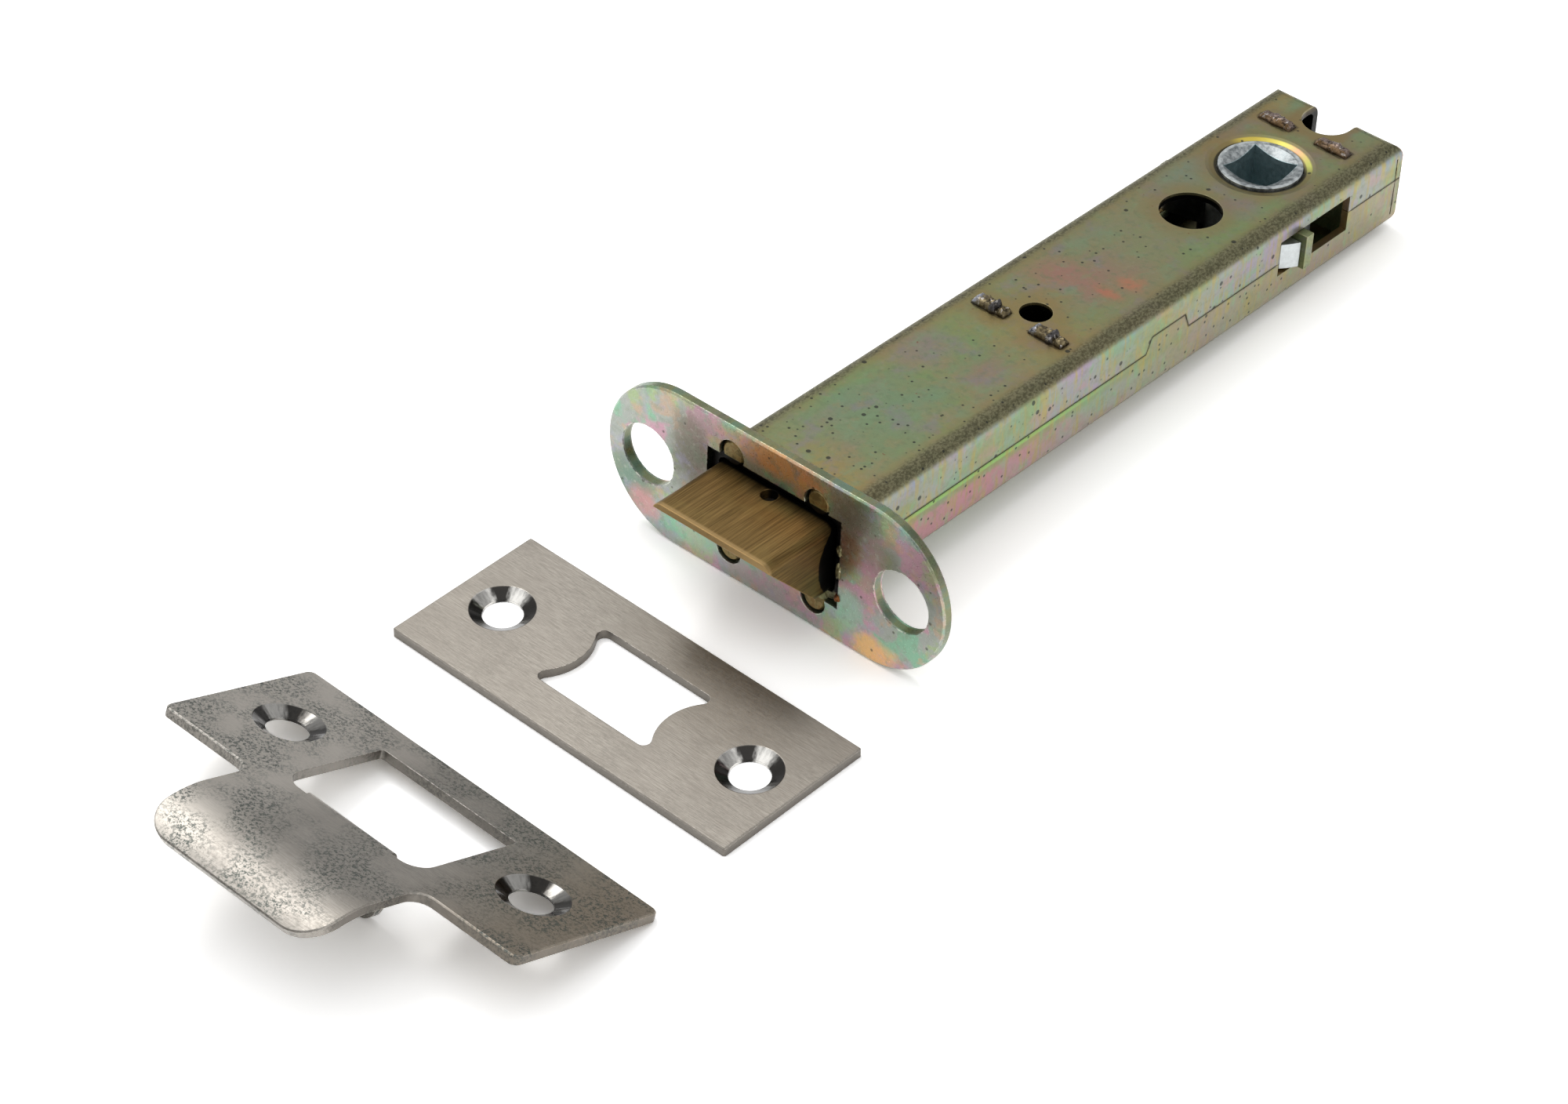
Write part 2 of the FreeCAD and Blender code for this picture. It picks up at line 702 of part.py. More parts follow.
def carriage():
    body = new_body("carriage")
    plan = [(minus("leg_outer"), "web_reach"), ("leg_outer", "web_reach"), ("leg_outer", "tab_front"),
            ("tab_tip", "tab_front"), ("tab_tip", "tab_rear"), ("leg_inner", "tab_rear"),
            ("leg_inner", "web_rear"), (minus("leg_inner"), "web_rear"),
            (minus("leg_inner"), "tab_rear"), (minus("tab_tip"), "tab_rear"),
            (minus("tab_tip"), "tab_front"), (minus("leg_outer"), "tab_front")]
    pad(body, "frame", "XY", minus("leg_height"), "2 * leg_height", plan)
    sides = both_sides("leg_outer", "tab_tip + tab_gauge")
    low, high = "window_low + slide_fit", "window_high - slide_fit"
    trims = [rectangle(x_low, x_high, z_low, z_high) for x_low, x_high in sides
             for z_low, z_high in ((minus("case_height"), low), (high, "case_height"))]
    cut(body, "tab_trims", "XZ", "tab_front - tab_gauge", "3 * tab_gauge", *trims)
    slot = rectangle("tab_front - slot_length", "tab_front", "lug_low - window_margin",
                     "lug_high + window_margin")
    cut(body, "lug_slots", "YZ", minus("case_width"), "2 * case_width", slot)
    cut(body, "tail_hole", "XZ", "web_reach", "leg_gauge", ring("0", "0", "rod_radius + running_fit"))
    corners = ("leg_outer", minus("leg_outer"))
    fillet(body, "outer_bends", "carriage_bend + leg_gauge",
           lambda edge: at(edge, y="web_reach") and any(at(edge, x=side) for side in corners))
    corners_in = ("leg_inner", minus("leg_inner"))
    fillet(body, "inner_bends", "carriage_bend",
           lambda edge: at(edge, y="web_rear") and any(at(edge, x=side) for side in corners_in))
    return body


def bolt_head():
    body = new_body("bolt_head")
    tip = minus("bolt_projection")
    profile = [(tip, "bolt_height"), (tip, "bolt_height - bolt_land"),
               ("bevel_run - bolt_projection", minus("bolt_height")),
               ("bolt_stub", minus("bolt_height")), ("bolt_stub", "bolt_height")]
    pad(body, "block", "YZ", minus("bolt_half"), "2 * bolt_half", profile)
    sides = ("bolt_half", minus("bolt_half"))
    faces = ("bolt_height", minus("bolt_height"))
    fillet(body, "long_edges", "bolt_edge_round", lambda edge: any(
        at(edge, x=side, z=face) for side in sides for face in faces))
    fillet(body, "nose", "bolt_nose_round",
           lambda edge: at(edge, y=tip) and at(edge, z="bolt_height - bolt_land"))
    cut(body, "spring_well", "XZ", "well_floor", "spring_well_depth",
        ring("0", "0", "spring_well_radius"))
    cut(body, "rod_bore", "XZ", "rod_front - small_fit", "well_floor - rod_front + small_fit",
        ring("0", "0", "rod_radius + small_fit"))
    cut(body, "pin_hole", "XY", minus("bolt_height"), "2 * bolt_height",
        ring("0", "pin_reach", "pin_radius + small_fit"))
    return body


def bolt_tail():
    body = new_body("bolt_tail")
    end = "rod_rear + rod_end_length"
    profile = [("rod_front", "0"), (end, "0"), (end, "rod_end_radius - rod_end_chamfer"),
               (end + " - rod_end_chamfer", "rod_end_radius"), ("rod_rear", "rod_end_radius"),
               ("rod_rear", "rod_radius"), ("rod_front", "rod_radius")]
    revolve(body, "rod", "YZ", "0", "Y", profile)
    cut(body, "pin_hole", "XY", minus("2 * rod_radius"), "4 * rod_radius",
        ring("0", "pin_reach", "pin_radius + small_fit"))
    return body


def bolt_pin():
    pin = doc.addObject("Part::Cylinder", "bolt_pin")
    pin.Label = "bolt_pin"
    bind(pin, "Radius", "pin_radius")
    bind(pin, "Height", "2 * bolt_height - 2 * pin_sink")
    bind(pin, "Placement.Base.y", "pin_reach")
    bind(pin, "Placement.Base.z", "pin_sink - bolt_height")
    return pin


def coil_spring(name, front, rear, wire, radius, turns):
    """A coil along Y between two seats, its round wire drawn with few flat sides."""
    body = new_body(name)
    wire_radius = "(%s / 2)" % wire
    start = "%s + %s + spring_seat" % (front, wire_radius)
    height = "%s - (%s) - %s - 2 * spring_seat" % (rear, front, wire)
    section = polygon(start, radius, wire_radius, WIRE_SIDES)
    sketch = draw_sketch(body, "wire", "YZ", "0", [section])
    coil = body.newObject("PartDesign::AdditiveHelix", "coil")
    coil.Profile = sketch
    coil.ReferenceAxis = (origin_feature(body, "Y_Axis"), [""])
    coil.Mode = "height-turns-angle"
    bind(coil, "Height", height)
    bind(coil, "Turns", turns)
    doc.recompute()
    return body


# Loose plates

def placed_on_floor(steps):
    """An expression for the floor's placement times further placements."""
    floor = ("placement(vector(0; forend_gauge; -forend_width / 2); "
             "rotation(vector(1; 0; 0); floor_tilt))")
    return " * ".join([floor] + steps)


def turned(axis, angle):
    return "placement(vector(0; 0; 0); rotation(vector(%s); %s))" % (axis, angle)


def moved(x, y, z):
    return "placement(vector(%s; %s; %s); rotation(vector(0; 0; 1); 0))" % (x, y, z)


def cover_opening():
    """A rectangle whose short ends bulge inwards between four round lobes."""
    rise = "cover_opening_rise"
    lobe_x, lobe_y = "cover_lobe_reach", "cover_lobe_rise"
    meet_x, meet_y = "cover_meet_x", "cover_meet_y"
    lobe, waist = "cover_lobe_radius", "cover_waist_radius"
    return [(minus(lobe_x), minus(rise)), (lobe_x, minus(rise), left(lobe)),
            (meet_x, minus(meet_y), right(waist)), (meet_x, meet_y, left(lobe)),
            (lobe_x, rise), (minus(lobe_x), rise, left(lobe)),
            (minus(meet_x), meet_y, right(waist)), (minus(meet_x), minus(meet_y), left(lobe))]


def forend_cover_plate():
    body = new_body("forend_cover_plate")
    half_length, half_width = "cover_length / 2", "cover_width / 2"
    pad(body, "plate", "XY", "0", "cover_gauge",
        rectangle(minus(half_length), half_length, minus(half_width), half_width))
    fillet(body, "corners", "cover_corner", lambda edge: edge.BoundBox.ZLength > TOLERANCE)
    chamfer(body, "edges", "cover_edge", lambda edge: at(edge, z="cover_gauge"))
    cut(body, "bolt_opening", "XY", "0", "cover_gauge", cover_opening())
    for side in ("cover_hole_reach", minus("cover_hole_reach")):
        cut(body, "screw_hole", "XY", "0", "cover_gauge", ring(side, "0", "cover_hole_radius"))
        sink_cone(body, "countersink", side, "0", "cover_gauge", "cover_sink_depth",
                  "cover_hole_radius", "cover_sink_radius")
    steps = [moved("cover_offset", minus("cover_reach"), "0"), turned("0; 0; 1", "cover_turn")]
    bind(body, "Placement", placed_on_floor(steps))
    return body


def strike_section():
    """The bent sheet seen from its end: flat, then curving down to the tip of the lip."""
    centre_y, centre_z = minus("lip_start"), minus("lip_bend")
    return [("0", minus("strike_gauge")), ("0", "0"), (centre_y, "0", about(1, centre_y, centre_z)),
            ("-lip_tip", "lip_bend * cos(lip_angle) - lip_bend"),
            ("-lip_under_tip", "lip_inner * cos(lip_angle) - lip_bend", about(-1, centre_y, centre_z)),
            (centre_y, minus("strike_gauge"))]


def strike_plan():
    """The plan of plate and lip as a hole in a larger frame, which trims the bent sheet."""
    half, lip = "strike_length / 2", "lip_width / 2"
    edge, tip = minus("strike_width"), "-lip_tip - strike_gauge"
    root = "lip_root_round"
    waist = "-strike_width - lip_root_round"
    return [("-" + half, "strike_gauge"), (half, "strike_gauge"), (half, edge),
            (lip + " + " + root, edge, about(1, lip + " + " + root, waist)), (lip, waist),
            (lip, tip), ("-" + lip, tip), ("-" + lip, waist, about(1, "-" + lip + " - " + root, waist)),
            ("-" + lip + " - " + root, edge), ("-" + half, edge)]


def strike_plate():
    body = new_body("strike_plate")
    half = "strike_length / 2"
    pad(body, "sheet", "YZ", "-" + half, "strike_length", strike_section())
    frame = rectangle("-trim_reach", "trim_reach", "-trim_reach", "trim_reach")
    cut(body, "trim", "XY", "-2 * lip_bend", "3 * lip_bend", frame, strike_plan())
    lip_sides = ("lip_width / 2", "-lip_width / 2")
    fillet(body, "lip_corners", "lip_corner", lambda edge: any(
        at(edge, x=side, y=("-lip_tip", "-lip_under_tip")) for side in lip_sides))
    ends = ("0", "-strike_width")
    fillet(body, "plate_corners", "strike_corner", lambda edge: any(at(edge, y=end) for end in ends)
           and (at(edge, x=half) or at(edge, x="-" + half)))
    chamfer(body, "edges", "strike_edge",
           lambda edge: at(edge, z="0") and not at(edge, y="-lip_start"))
    opening = rectangle("-strike_opening_length / 2", "strike_opening_length / 2",
                        "-strike_opening_end", "-strike_opening_start")
    cut(body, "bolt_opening", "XY", "-strike_gauge", "strike_gauge", opening)
    opening_sides = ("strike_opening_length / 2", "-strike_opening_length / 2")
    for name, place, size in (("reliefs", "-strike_opening_end", "relief_radius"),
                              ("opening_corners", "-strike_opening_start", "opening_corner")):
        fillet(body, name, size, lambda edge: at(edge, y=place) and any(
            at(edge, x=side) for side in opening_sides))
    add_tongue(body)
    for side in ("strike_hole_reach", minus("strike_hole_reach")):
        cut(body, "screw_hole", "XY", "-strike_gauge", "strike_gauge",
            ring(side, "-strike_width / 2", "strike_hole_radius"))
        sink_cone(body, "countersink", side, "-strike_width / 2", "0", "strike_sink_depth",
                  "strike_hole_radius", "strike_sink_radius")
    steps = [moved("strike_offset", minus("strike_reach"), "0"), turned("0; 0; 1", "strike_turn"),
             turned("1; 0; 0", minus("strike_tilt")), moved("0", "0", "strike_gauge")]
    bind(body, "Placement", placed_on_floor(steps))
    return body


def add_tongue(body):
    """The tongue cut from the opening and bent down at its near edge."""
    half = "tongue_width / 2"
    pad(body, "tongue", "YZ", "-" + half, "tongue_width",
        [("-tongue_back", minus("tongue_drop")), ("-tongue_front", minus("tongue_drop")),
         ("-tongue_front", "0"), ("-tongue_back", "0")])
    fillet(body, "tongue_corners", "tongue_corner", lambda edge: at(edge, z=minus("tongue_drop"))
           and (at(edge, x=half) or at(edge, x="-" + half)))
    fillet(body, "tongue_bend", "tongue_bend",
           lambda edge: at(edge, y="-tongue_front") and at(edge, z="0"))


def check_document():
    """Stop if any object failed or holds no sound shape."""
    doc.recompute()
    for item in doc.Objects:
        if {"Invalid", "Error"} & set(item.State):
            raise ValueError("%s is in state %s" % (item.Label, item.State))


def export(nodes):
    os.makedirs("parts", exist_ok=True)
    for node in nodes:
        shape = node.Shape
        if shape.isNull() or not shape.isValid() or not shape.Solids:
            raise ValueError(node.Label + " has no sound shape")
        shape.exportStep(os.path.join("parts", node.Label + ".step"))
        box = shape.BoundBox
        print("%-20s solids %d volume %9.2f  x %7.2f %7.2f  y %7.2f %7.2f  z %7.2f %7.2f" % (
            node.Label, len(shape.Solids), shape.Volume, box.XMin, box.XMax, box.YMin, box.YMax,
            box.ZMin, box.ZMax))


def build():
    fill_sheet()
    nodes = [
        upper_case_shell(),
        lower_case_shell(),
        forend_plate(),
        cross_plate("mid_spring_plate", "spring_plate_reach", "tail_window_radius", chiselled=True),
        cross_plate("rear_stop_plate", "stop_plate_place"),
        follower(),
        carriage(),
        bolt_head(),
        bolt_tail(),
        bolt_pin(),
        coil_spring("bolt_spring", "well_floor", "web_reach", "bolt_spring_wire",
                    "bolt_spring_radius", "bolt_spring_turns"),
        coil_spring("lever_spring", "web_rear", "spring_plate_reach", "lever_spring_wire",
                    "lever_spring_radius", "lever_spring_turns"),
        forend_cover_plate(),
        strike_plate(),
    ]
    check_document()
    export(nodes)


build()
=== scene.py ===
import json
import math

import bmesh
import bpy
from mathutils import Matrix, Vector, noise


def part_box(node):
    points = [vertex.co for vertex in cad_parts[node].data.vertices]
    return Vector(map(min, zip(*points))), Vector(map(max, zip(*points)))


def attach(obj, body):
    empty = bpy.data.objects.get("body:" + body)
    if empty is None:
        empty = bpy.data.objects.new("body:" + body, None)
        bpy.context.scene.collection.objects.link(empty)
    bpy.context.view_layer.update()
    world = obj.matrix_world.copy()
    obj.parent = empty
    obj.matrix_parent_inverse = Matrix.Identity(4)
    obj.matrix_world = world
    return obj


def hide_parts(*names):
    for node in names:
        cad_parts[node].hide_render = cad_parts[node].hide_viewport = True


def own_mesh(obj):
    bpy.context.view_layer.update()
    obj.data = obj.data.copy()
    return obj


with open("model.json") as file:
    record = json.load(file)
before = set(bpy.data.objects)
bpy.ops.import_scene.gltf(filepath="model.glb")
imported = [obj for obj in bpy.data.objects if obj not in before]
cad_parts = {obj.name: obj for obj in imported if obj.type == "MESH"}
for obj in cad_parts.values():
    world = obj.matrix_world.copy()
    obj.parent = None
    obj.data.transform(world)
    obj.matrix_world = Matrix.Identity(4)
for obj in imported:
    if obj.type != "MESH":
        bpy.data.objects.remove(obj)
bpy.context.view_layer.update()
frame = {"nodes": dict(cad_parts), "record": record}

# The looks of a tubular door latch with its two loose plates.
# Places and sizes in the materials are in millimetres, in the part's own frame.

MM = 0.001
UPWARD = (0, 0, 1)
BEVEL_SAMPLES = 6

# How far one step of the seed moves a pattern
NOISE_STEP = (31.7, 17.3, 53.9)
DOT_STEP = (13.1, 7.7, 29.3)


def tone(red, green, blue):
    """A colour given by its 0 to 255 values on a screen, as the shaders want it."""
    def linear(value):
        share = value / 255
        return share / 12.92 if share <= 0.04045 else ((share + 0.055) / 1.055) ** 2.4
    return (linear(red), linear(green), linear(blue), 1.0)


def box_mm(node):
    low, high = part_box(node)
    return low / MM, high / MM


def mount_mm(name):
    return tuple(value / MM for value in mounts[name]["pos_m"])


class Tree:
    """A node tree built by short calls. Each call gives the socket of its result."""

    def __init__(self, tree):
        self.nodes = tree.nodes
        self.links = tree.links

    def put(self, kind, settings=None, **inputs):
        node = self.nodes.new("ShaderNode" + kind)
        for name, value in (settings or {}).items():
            setattr(node, name, value)
        for name, value in inputs.items():
            self.feed(node.inputs[name], value)
        return node

    def feed(self, socket, value):
        if isinstance(value, bpy.types.NodeSocket):
            self.links.new(value, socket)
        else:
            socket.default_value = value

    def vector(self, operation, first, second=None, scale=None):
        node = self.put("VectorMath", {"operation": operation})
        self.feed(node.inputs[0], first)
        if second is not None:
            self.feed(node.inputs[1], second)
        if scale is not None:
            self.feed(node.inputs["Scale"], scale)
        return node.outputs["Value" if operation in ("LENGTH", "DOT_PRODUCT") else "Vector"]

    def maths(self, operation, *values):
        node = self.put("Math", {"operation": operation})
        for socket, value in zip(node.inputs, values):
            self.feed(socket, value)
        return node.outputs[0]

    def times(self, first, *others):
        """The product of some values."""
        for other in others:
            first = self.maths("MULTIPLY", first, other)
        return first

    def most(self, first, *others):
        """The greatest of some values."""
        for other in others:
            first = self.maths("MAXIMUM", first, other)
        return first

    def plus(self, value, field, amount=1.0):
        """A value and so many times a field."""
        return self.maths("MULTIPLY_ADD", field, amount, value)

    def opposite(self, share):
        """What a share leaves of 1."""
        return self.maths("SUBTRACT", 1.0, share)

    def away(self, value, centre=None):
        """How far a value is from a centre, or from zero, to either side."""
        if centre is not None:
            value = self.maths("SUBTRACT", value, centre)
        return self.maths("ABSOLUTE", value)

    def span(self, value, low, high, start=0.0, end=1.0):
        """A smooth step from start to end as the value goes from low to high."""
        node = self.put("MapRange", {"interpolation_type": "SMOOTHSTEP"})
        for socket, number in zip(node.inputs, (value, low, high, start, end)):
            self.feed(socket, number)
        return node.outputs[0]

    def blend(self, share, first, second):
        """A number so far of the way from one to another."""
        node = self.put("Mix")
        for index, value in ((0, share), (2, first), (3, second)):
            self.feed(node.inputs[index], value)
        return node.outputs[0]


class Shader(Tree):
    """A material and its node tree. Its place is in millimetres."""

    def __init__(self, name):
        self.material = bpy.data.materials.new(name)
        self.material.use_nodes = True
        super().__init__(self.material.node_tree)
        self.surface = self.nodes["Principled BSDF"].inputs
        self.place = self.vector("SCALE", self.put("TexCoord").outputs["Object"], scale=1 / MM)
        self.x, self.y, self.z = self.put("SeparateXYZ", Vector=self.place).outputs

    def noise(self, size, detail=3.0, roughness=0.55, stretch=(1, 1, 1), seed=0.0, place=None):
        """Cloudy noise whose features are about so many millimetres across."""
        where = self.vector("MULTIPLY", place or self.place, tuple(1 / share for share in stretch))
        where = self.vector("ADD", where, tuple(seed * step for step in NOISE_STEP))
        return self.put("TexNoise", {"noise_dimensions": "3D"}, Vector=where, Scale=1 / size,
                        Detail=detail, Roughness=roughness).outputs["Fac"]

    def shades(self, field, low, high, *colours):
        """Evenly spaced colours as a field goes from low to high."""
        node = self.put("ValToRGB", Fac=self.span(field, low, high))
        elements = node.color_ramp.elements
        while len(elements) < len(colours):
            elements.new(0.5)
        for index, (element, colour) in enumerate(zip(elements, colours)):
            element.position = index / (len(colours) - 1)
            element.color = colour
        return node.outputs["Color"]

    def mix(self, share, first, second):
        node = self.put("Mix", {"data_type": "RGBA", "clamp_factor": True})
        self.feed(node.inputs["Factor"], share)
        self.feed(node.inputs[6], first)
        self.feed(node.inputs[7], second)
        return node.outputs[2]

    def tint(self, colour, paint, mask, share=1.0):
        """A colour with some of another laid over it where the mask is."""
        return self.mix(mask if share == 1.0 else self.times(mask, share), colour, paint)

    def blob(self, centre, radii, soft=0.5, seed=0.0, wobble=0.35):
        """A soft patch about a place, with an uneven outline."""
        offset = self.vector("SUBTRACT", self.place, centre)
        reach = self.vector("LENGTH", self.vector("DIVIDE", offset, radii))
        rough = self.noise(4.0, detail=5.0, roughness=0.66, seed=seed)
        reach = self.plus(self.maths("SUBTRACT", reach, wobble * 2), rough, wobble * 4)
        return self.span(reach, 1 + soft, 1 - soft)

    def specks(self, size, share, seed=0.0):
        """Sparse irregular spots."""
        field = self.noise(size, detail=2.0, roughness=0.6, seed=seed)
        return self.span(field, share, share + 0.03)

    def dots(self, size, radius, share, seed=0.0):
        """Round dots, one in a share of the cells of an uneven grid."""
        where = self.vector("ADD", self.place, tuple(seed * step for step in DOT_STEP))
        cells = self.put("TexVoronoi", {"feature": "F1"}, Vector=where, Scale=1 / size)
        chance = self.put("SeparateXYZ", Vector=cells.outputs["Color"]).outputs[0]
        dot = self.span(cells.outputs["Distance"], (radius + 0.07) / size, (radius - 0.05) / size)
        return self.times(dot, self.maths("LESS_THAN", chance, share))

    def brushed(self, across, along, direction, seed=0.0):
        """Fine parallel lines along one axis."""
        stretch = [across] * 3
        stretch["xyz".index(direction)] = along
        return self.noise(1.0, detail=4.0, roughness=0.7, stretch=stretch, seed=seed)

    def axis_distance(self, place, axis=UPWARD):
        """How far a point is from a line."""
        offset = self.vector("SUBTRACT", self.place, tuple(place))
        return self.vector("LENGTH", self.vector("CROSS_PRODUCT", offset, tuple(axis)))

    def edges(self, radius):
        """How near a surface is to a sharp edge, from 0 to 1."""
        rounded = self.put("Bevel", {"samples": BEVEL_SAMPLES}, Radius=radius * MM).outputs["Normal"]
        plain = self.put("NewGeometry").outputs["True Normal"]
        level = self.vector("DOT_PRODUCT", rounded, plain)
        return self.span(self.opposite(level), 0.02, 0.25)

    def finish(self, colour, metallic, roughness, height, strength, depth, edge=0.06):
        """Feed the surface: a bump of so many millimetres over edges rounded by so many."""
        self.feed(self.surface["Base Color"], colour)
        self.feed(self.surface["Metallic"], metallic)
        self.feed(self.surface["Roughness"], roughness)
        rounded = self.put("Bevel", {"samples": BEVEL_SAMPLES}, Radius=edge * MM).outputs["Normal"]
        bump = self.put("Bump", Strength=strength, Distance=depth * MM, Height=height, Normal=rounded)
        self.feed(self.surface["Normal"], bump.outputs["Normal"])
        return self.material


# Places on the part that the finishes follow

mounts = {mount["name"]: mount for mount in frame["record"]["mounts"]}
HALF_WIDTH = box_mm("upper_case_shell")[1].x
HALF_HEIGHT = 7.2
BEND_START = HALF_WIDTH - 2.3
FIXING_Y = mount_mm("fixing_bore")[1]
FIXING_RADIUS = 4.7
FOLLOWER_Y = mount_mm("spindle")[1]
DRAIN_Y, DRAIN_RADIUS = 54.8, 2.4
SQUARE_HALF = 3.9
DISH_RADIUS = 7.20
WINDOW_FRONT, WINDOW_REAR = 96.8, 113.8
NOTCH_Y, REAR_END = 118.4, 126.8
EAR_X, EAR_Z, EAR_RADIUS = 7.6, 8.1, 2.1
OPENING_HALF_WIDTH, OPENING_HALF_HEIGHT = 11.85, 7.25
COVER_SINK_RADIUS, STRIKE_SINK_RADIUS = 4.65, 4.95
mid_low, mid_high = box_mm("mid_spring_plate")
rear_low, rear_high = box_mm("rear_stop_plate")
STAKE_X = 5.15
STAKE_ROWS = ((mid_low.y + mid_high.y) / 2, (rear_low.y + rear_high.y) / 2)
LUMP_LENGTH, LUMP_WIDTH = 2.95, 1.15


# Finishes

TEAL = tone(112, 146, 120)
OLIVE = tone(130, 139, 100)
TAN = tone(146, 134, 100)
ROSE = tone(150, 122, 112)
MAUVE = tone(136, 128, 134)
GOLD = tone(158, 136, 78)
BROWN = tone(140, 118, 78)
MINT = tone(124, 156, 124)
PINK = tone(180, 124, 134)
LILAC = tone(154, 138, 158)
SILVER = tone(146, 150, 142)
LEAF = tone(118, 156, 88)
# SHADE_BLACK is painted shade: black in gaps, recesses and within the case, with grease at the forend's
# opening and beside the bolt
SHADE_BLACK = tone(16, 15, 13)


def film(shader, colour, layers, seed, soft=0.17):
    """A thin clear film: clouds of other tones over a ground, each (tone, size, stretch, share, from)."""
    for index, (paint, size, stretch, share, low) in enumerate(layers):
        field = shader.noise(size, detail=5.0, roughness=0.58, stretch=stretch, seed=seed + 2.3 * index)
        colour = shader.mix(shader.span(field, low, low + soft, 0.0, share), colour, paint)
    return colour


TOP_CLOUDS = (
    (TEAL, 12.0, (1, 1.5, 1), 0.55, 0.50),
    (TAN, 10.0, (1, 1.6, 1), 0.85, 0.46),
    (ROSE, 11.0, (1, 1.8, 1), 0.55, 0.52),
    (LEAF, 6.0, (1, 1.4, 1), 0.30, 0.52),
)
TOP_GRAIN = (
    (MAUVE, 4.5, (1, 1.2, 1), 0.55, 0.52),
    (tone(126, 148, 116), 3.2, (1, 1.3, 1), 0.55, 0.52),
    (TAN, 2.4, (1, 1, 1), 0.40, 0.50),
    (tone(110, 124, 96), 1.2, (1, 1, 1), 0.40, 0.50),
    (tone(156, 150, 128), 0.9, (1, 1, 1), 0.22, 0.54),
)
INNER_CLOUDS = TOP_CLOUDS[3:] + TOP_GRAIN[:3]
INNER_SEED = 6.0
SIDE_CLOUDS = (
    (MINT, 9.0, (1, 2.0, 1), 0.80, 0.46),
    (LILAC, 7.0, (1, 1.8, 1), 0.90, 0.46),
    (tone(126, 140, 158), 6.0, (1, 2.0, 1), 0.55, 0.52),
    (tone(136, 146, 96), 8.0, (1, 1.6, 1), 0.80, 0.48),
    (tone(176, 134, 136), 5.0, (1, 1.4, 1), 0.55, 0.52),
)
SIDE_GRAIN = (
    (tone(166, 152, 84), 2.6, (1, 0.6, 2.6), 0.65, 0.52),
    (tone(124, 164, 124), 1.8, (1, 0.9, 1.4), 0.45, 0.52),
    (tone(120, 126, 104), 1.1, (1, 1, 1), 0.35, 0.52),
)
FOREND_CLOUDS = (
    (tone(132, 182, 152), 7.5, (1, 1, 1), 0.85, 0.49),
    (tone(194, 146, 164), 6.5, (1, 1, 1), 0.80, 0.50),
    (tone(158, 182, 118), 5.0, (1, 1, 1), 0.60, 0.53),
    (tone(194, 158, 128), 4.5, (1, 1, 1), 0.55, 0.53),
)
FOREND_GRAIN = (
    (tone(160, 158, 182), 3.0, (1, 1, 1), 0.50, 0.53),
    (tone(136, 146, 128), 1.4, (1, 1, 1), 0.45, 0.50),
    (tone(190, 190, 178), 1.0, (1, 1, 1), 0.30, 0.54),
)


def hole_halo(shader, y, inner, outer):
    """A ring round a hole through the case, uneven at its outside."""
    reach = shader.plus(shader.axis_distance((0, y, 0)), shader.noise(3.0, seed=y), -2.5)
    return shader.span(reach, outer, inner)


def stake_halo(shader):
    """Rings round the staked heads, on the right and on the left at once."""
    mirrored = shader.put("CombineXYZ", X=shader.away(shader.x), Y=shader.y, Z=0.0).outputs[0]
    total = 0.0
    for row in STAKE_ROWS:
        offset = shader.vector("SUBTRACT", mirrored, (STAKE_X, row, 0))
        reach = shader.vector("LENGTH", shader.vector("DIVIDE", offset, (4.8, 3.4, 1)))
        reach = shader.plus(reach, shader.noise(2.0, seed=row), -0.9)
        total = shader.most(total, shader.span(reach, 1.1, 0.2))
    return total


# Patches on the case's top: x, y, half width, half length, colour, share
TOP_PATCHES = (
    (-1.2, 22.5, 8.5, 8.0, TEAL, 0.45),
    (3.8, 6.5, 8.0, 4.0, GOLD, 0.60),
    (-10.0, 24.0, 3.0, 8.0, LEAF, 0.30),
    (-5.6, 38.4, 3.4, 4.4, MAUVE, 0.55),
    (-6.1, 43.6, 3.2, 2.8, LEAF, 0.35),
    (1.0, 52.0, 9.5, 6.5, GOLD, 0.55),
    (-4.8, 64.0, 4.6, 4.6, tone(160, 118, 104), 0.50),
    (3.6, 69.0, 5.4, 6.4, tone(158, 120, 108), 0.45),
    (5.4, 69.8, 1.7, 1.6, tone(196, 118, 92), 0.70),
    (4.2, 65.6, 2.2, 0.9, tone(192, 116, 92), 0.60),
    (-2.1, 65.0, 3.6, 3.0, tone(166, 116, 112), 0.55),
    (4.8, 96.2, 2.8, 2.8, tone(146, 118, 128), 0.70),
    (-0.4, 97.9, 1.6, 1.6, tone(134, 134, 138), 0.60),
    (-8.2, 121.1, 1.3, 5.0, tone(166, 132, 76), 0.65),
    (-8.4, 105.6, 2.4, 5.0, tone(150, 128, 76), 0.55),
    (2.2, 118.4, 3.4, 2.4, tone(112, 148, 116), 0.75),
    (7.2, 112.5, 2.4, 4.0, tone(114, 150, 112), 0.65),
    (8.0, 102.5, 1.8, 4.5, tone(122, 150, 106), 0.60),
    (-9.0, 113.0, 2.0, 4.0, tone(136, 118, 126), 0.50),
    (-8.0, 97.0, 2.6, 4.0, tone(120, 150, 110), 0.60),
    (0.0, 79.0, 8.0, 9.0, tone(142, 136, 110), 0.45),
    (7.0, 90.0, 3.6, 9.0, LEAF, 0.30),
    (-7.0, 98.0, 3.4, 7.0, MAUVE, 0.35),
    (0.0, 120.0, 10.0, 5.0, tone(132, 150, 116), 0.40),
)
TOP_PATCH_DEPTH = 3


def top_film(shader, seed):
    """The clouded top of the case: olive drifting to teal, tan and rose."""
    colour = film(shader, OLIVE, TOP_CLOUDS, seed)
    for index, (x, y, half_width, half_length, patch, share) in enumerate(TOP_PATCHES):
        mask = shader.blob((x, y, HALF_HEIGHT), (half_width, half_length, TOP_PATCH_DEPTH),
                           soft=0.75, seed=index * 1.7, wobble=0.45)
        colour = shader.tint(colour, patch, mask, share)
    return film(shader, colour, TOP_GRAIN, seed + 11)


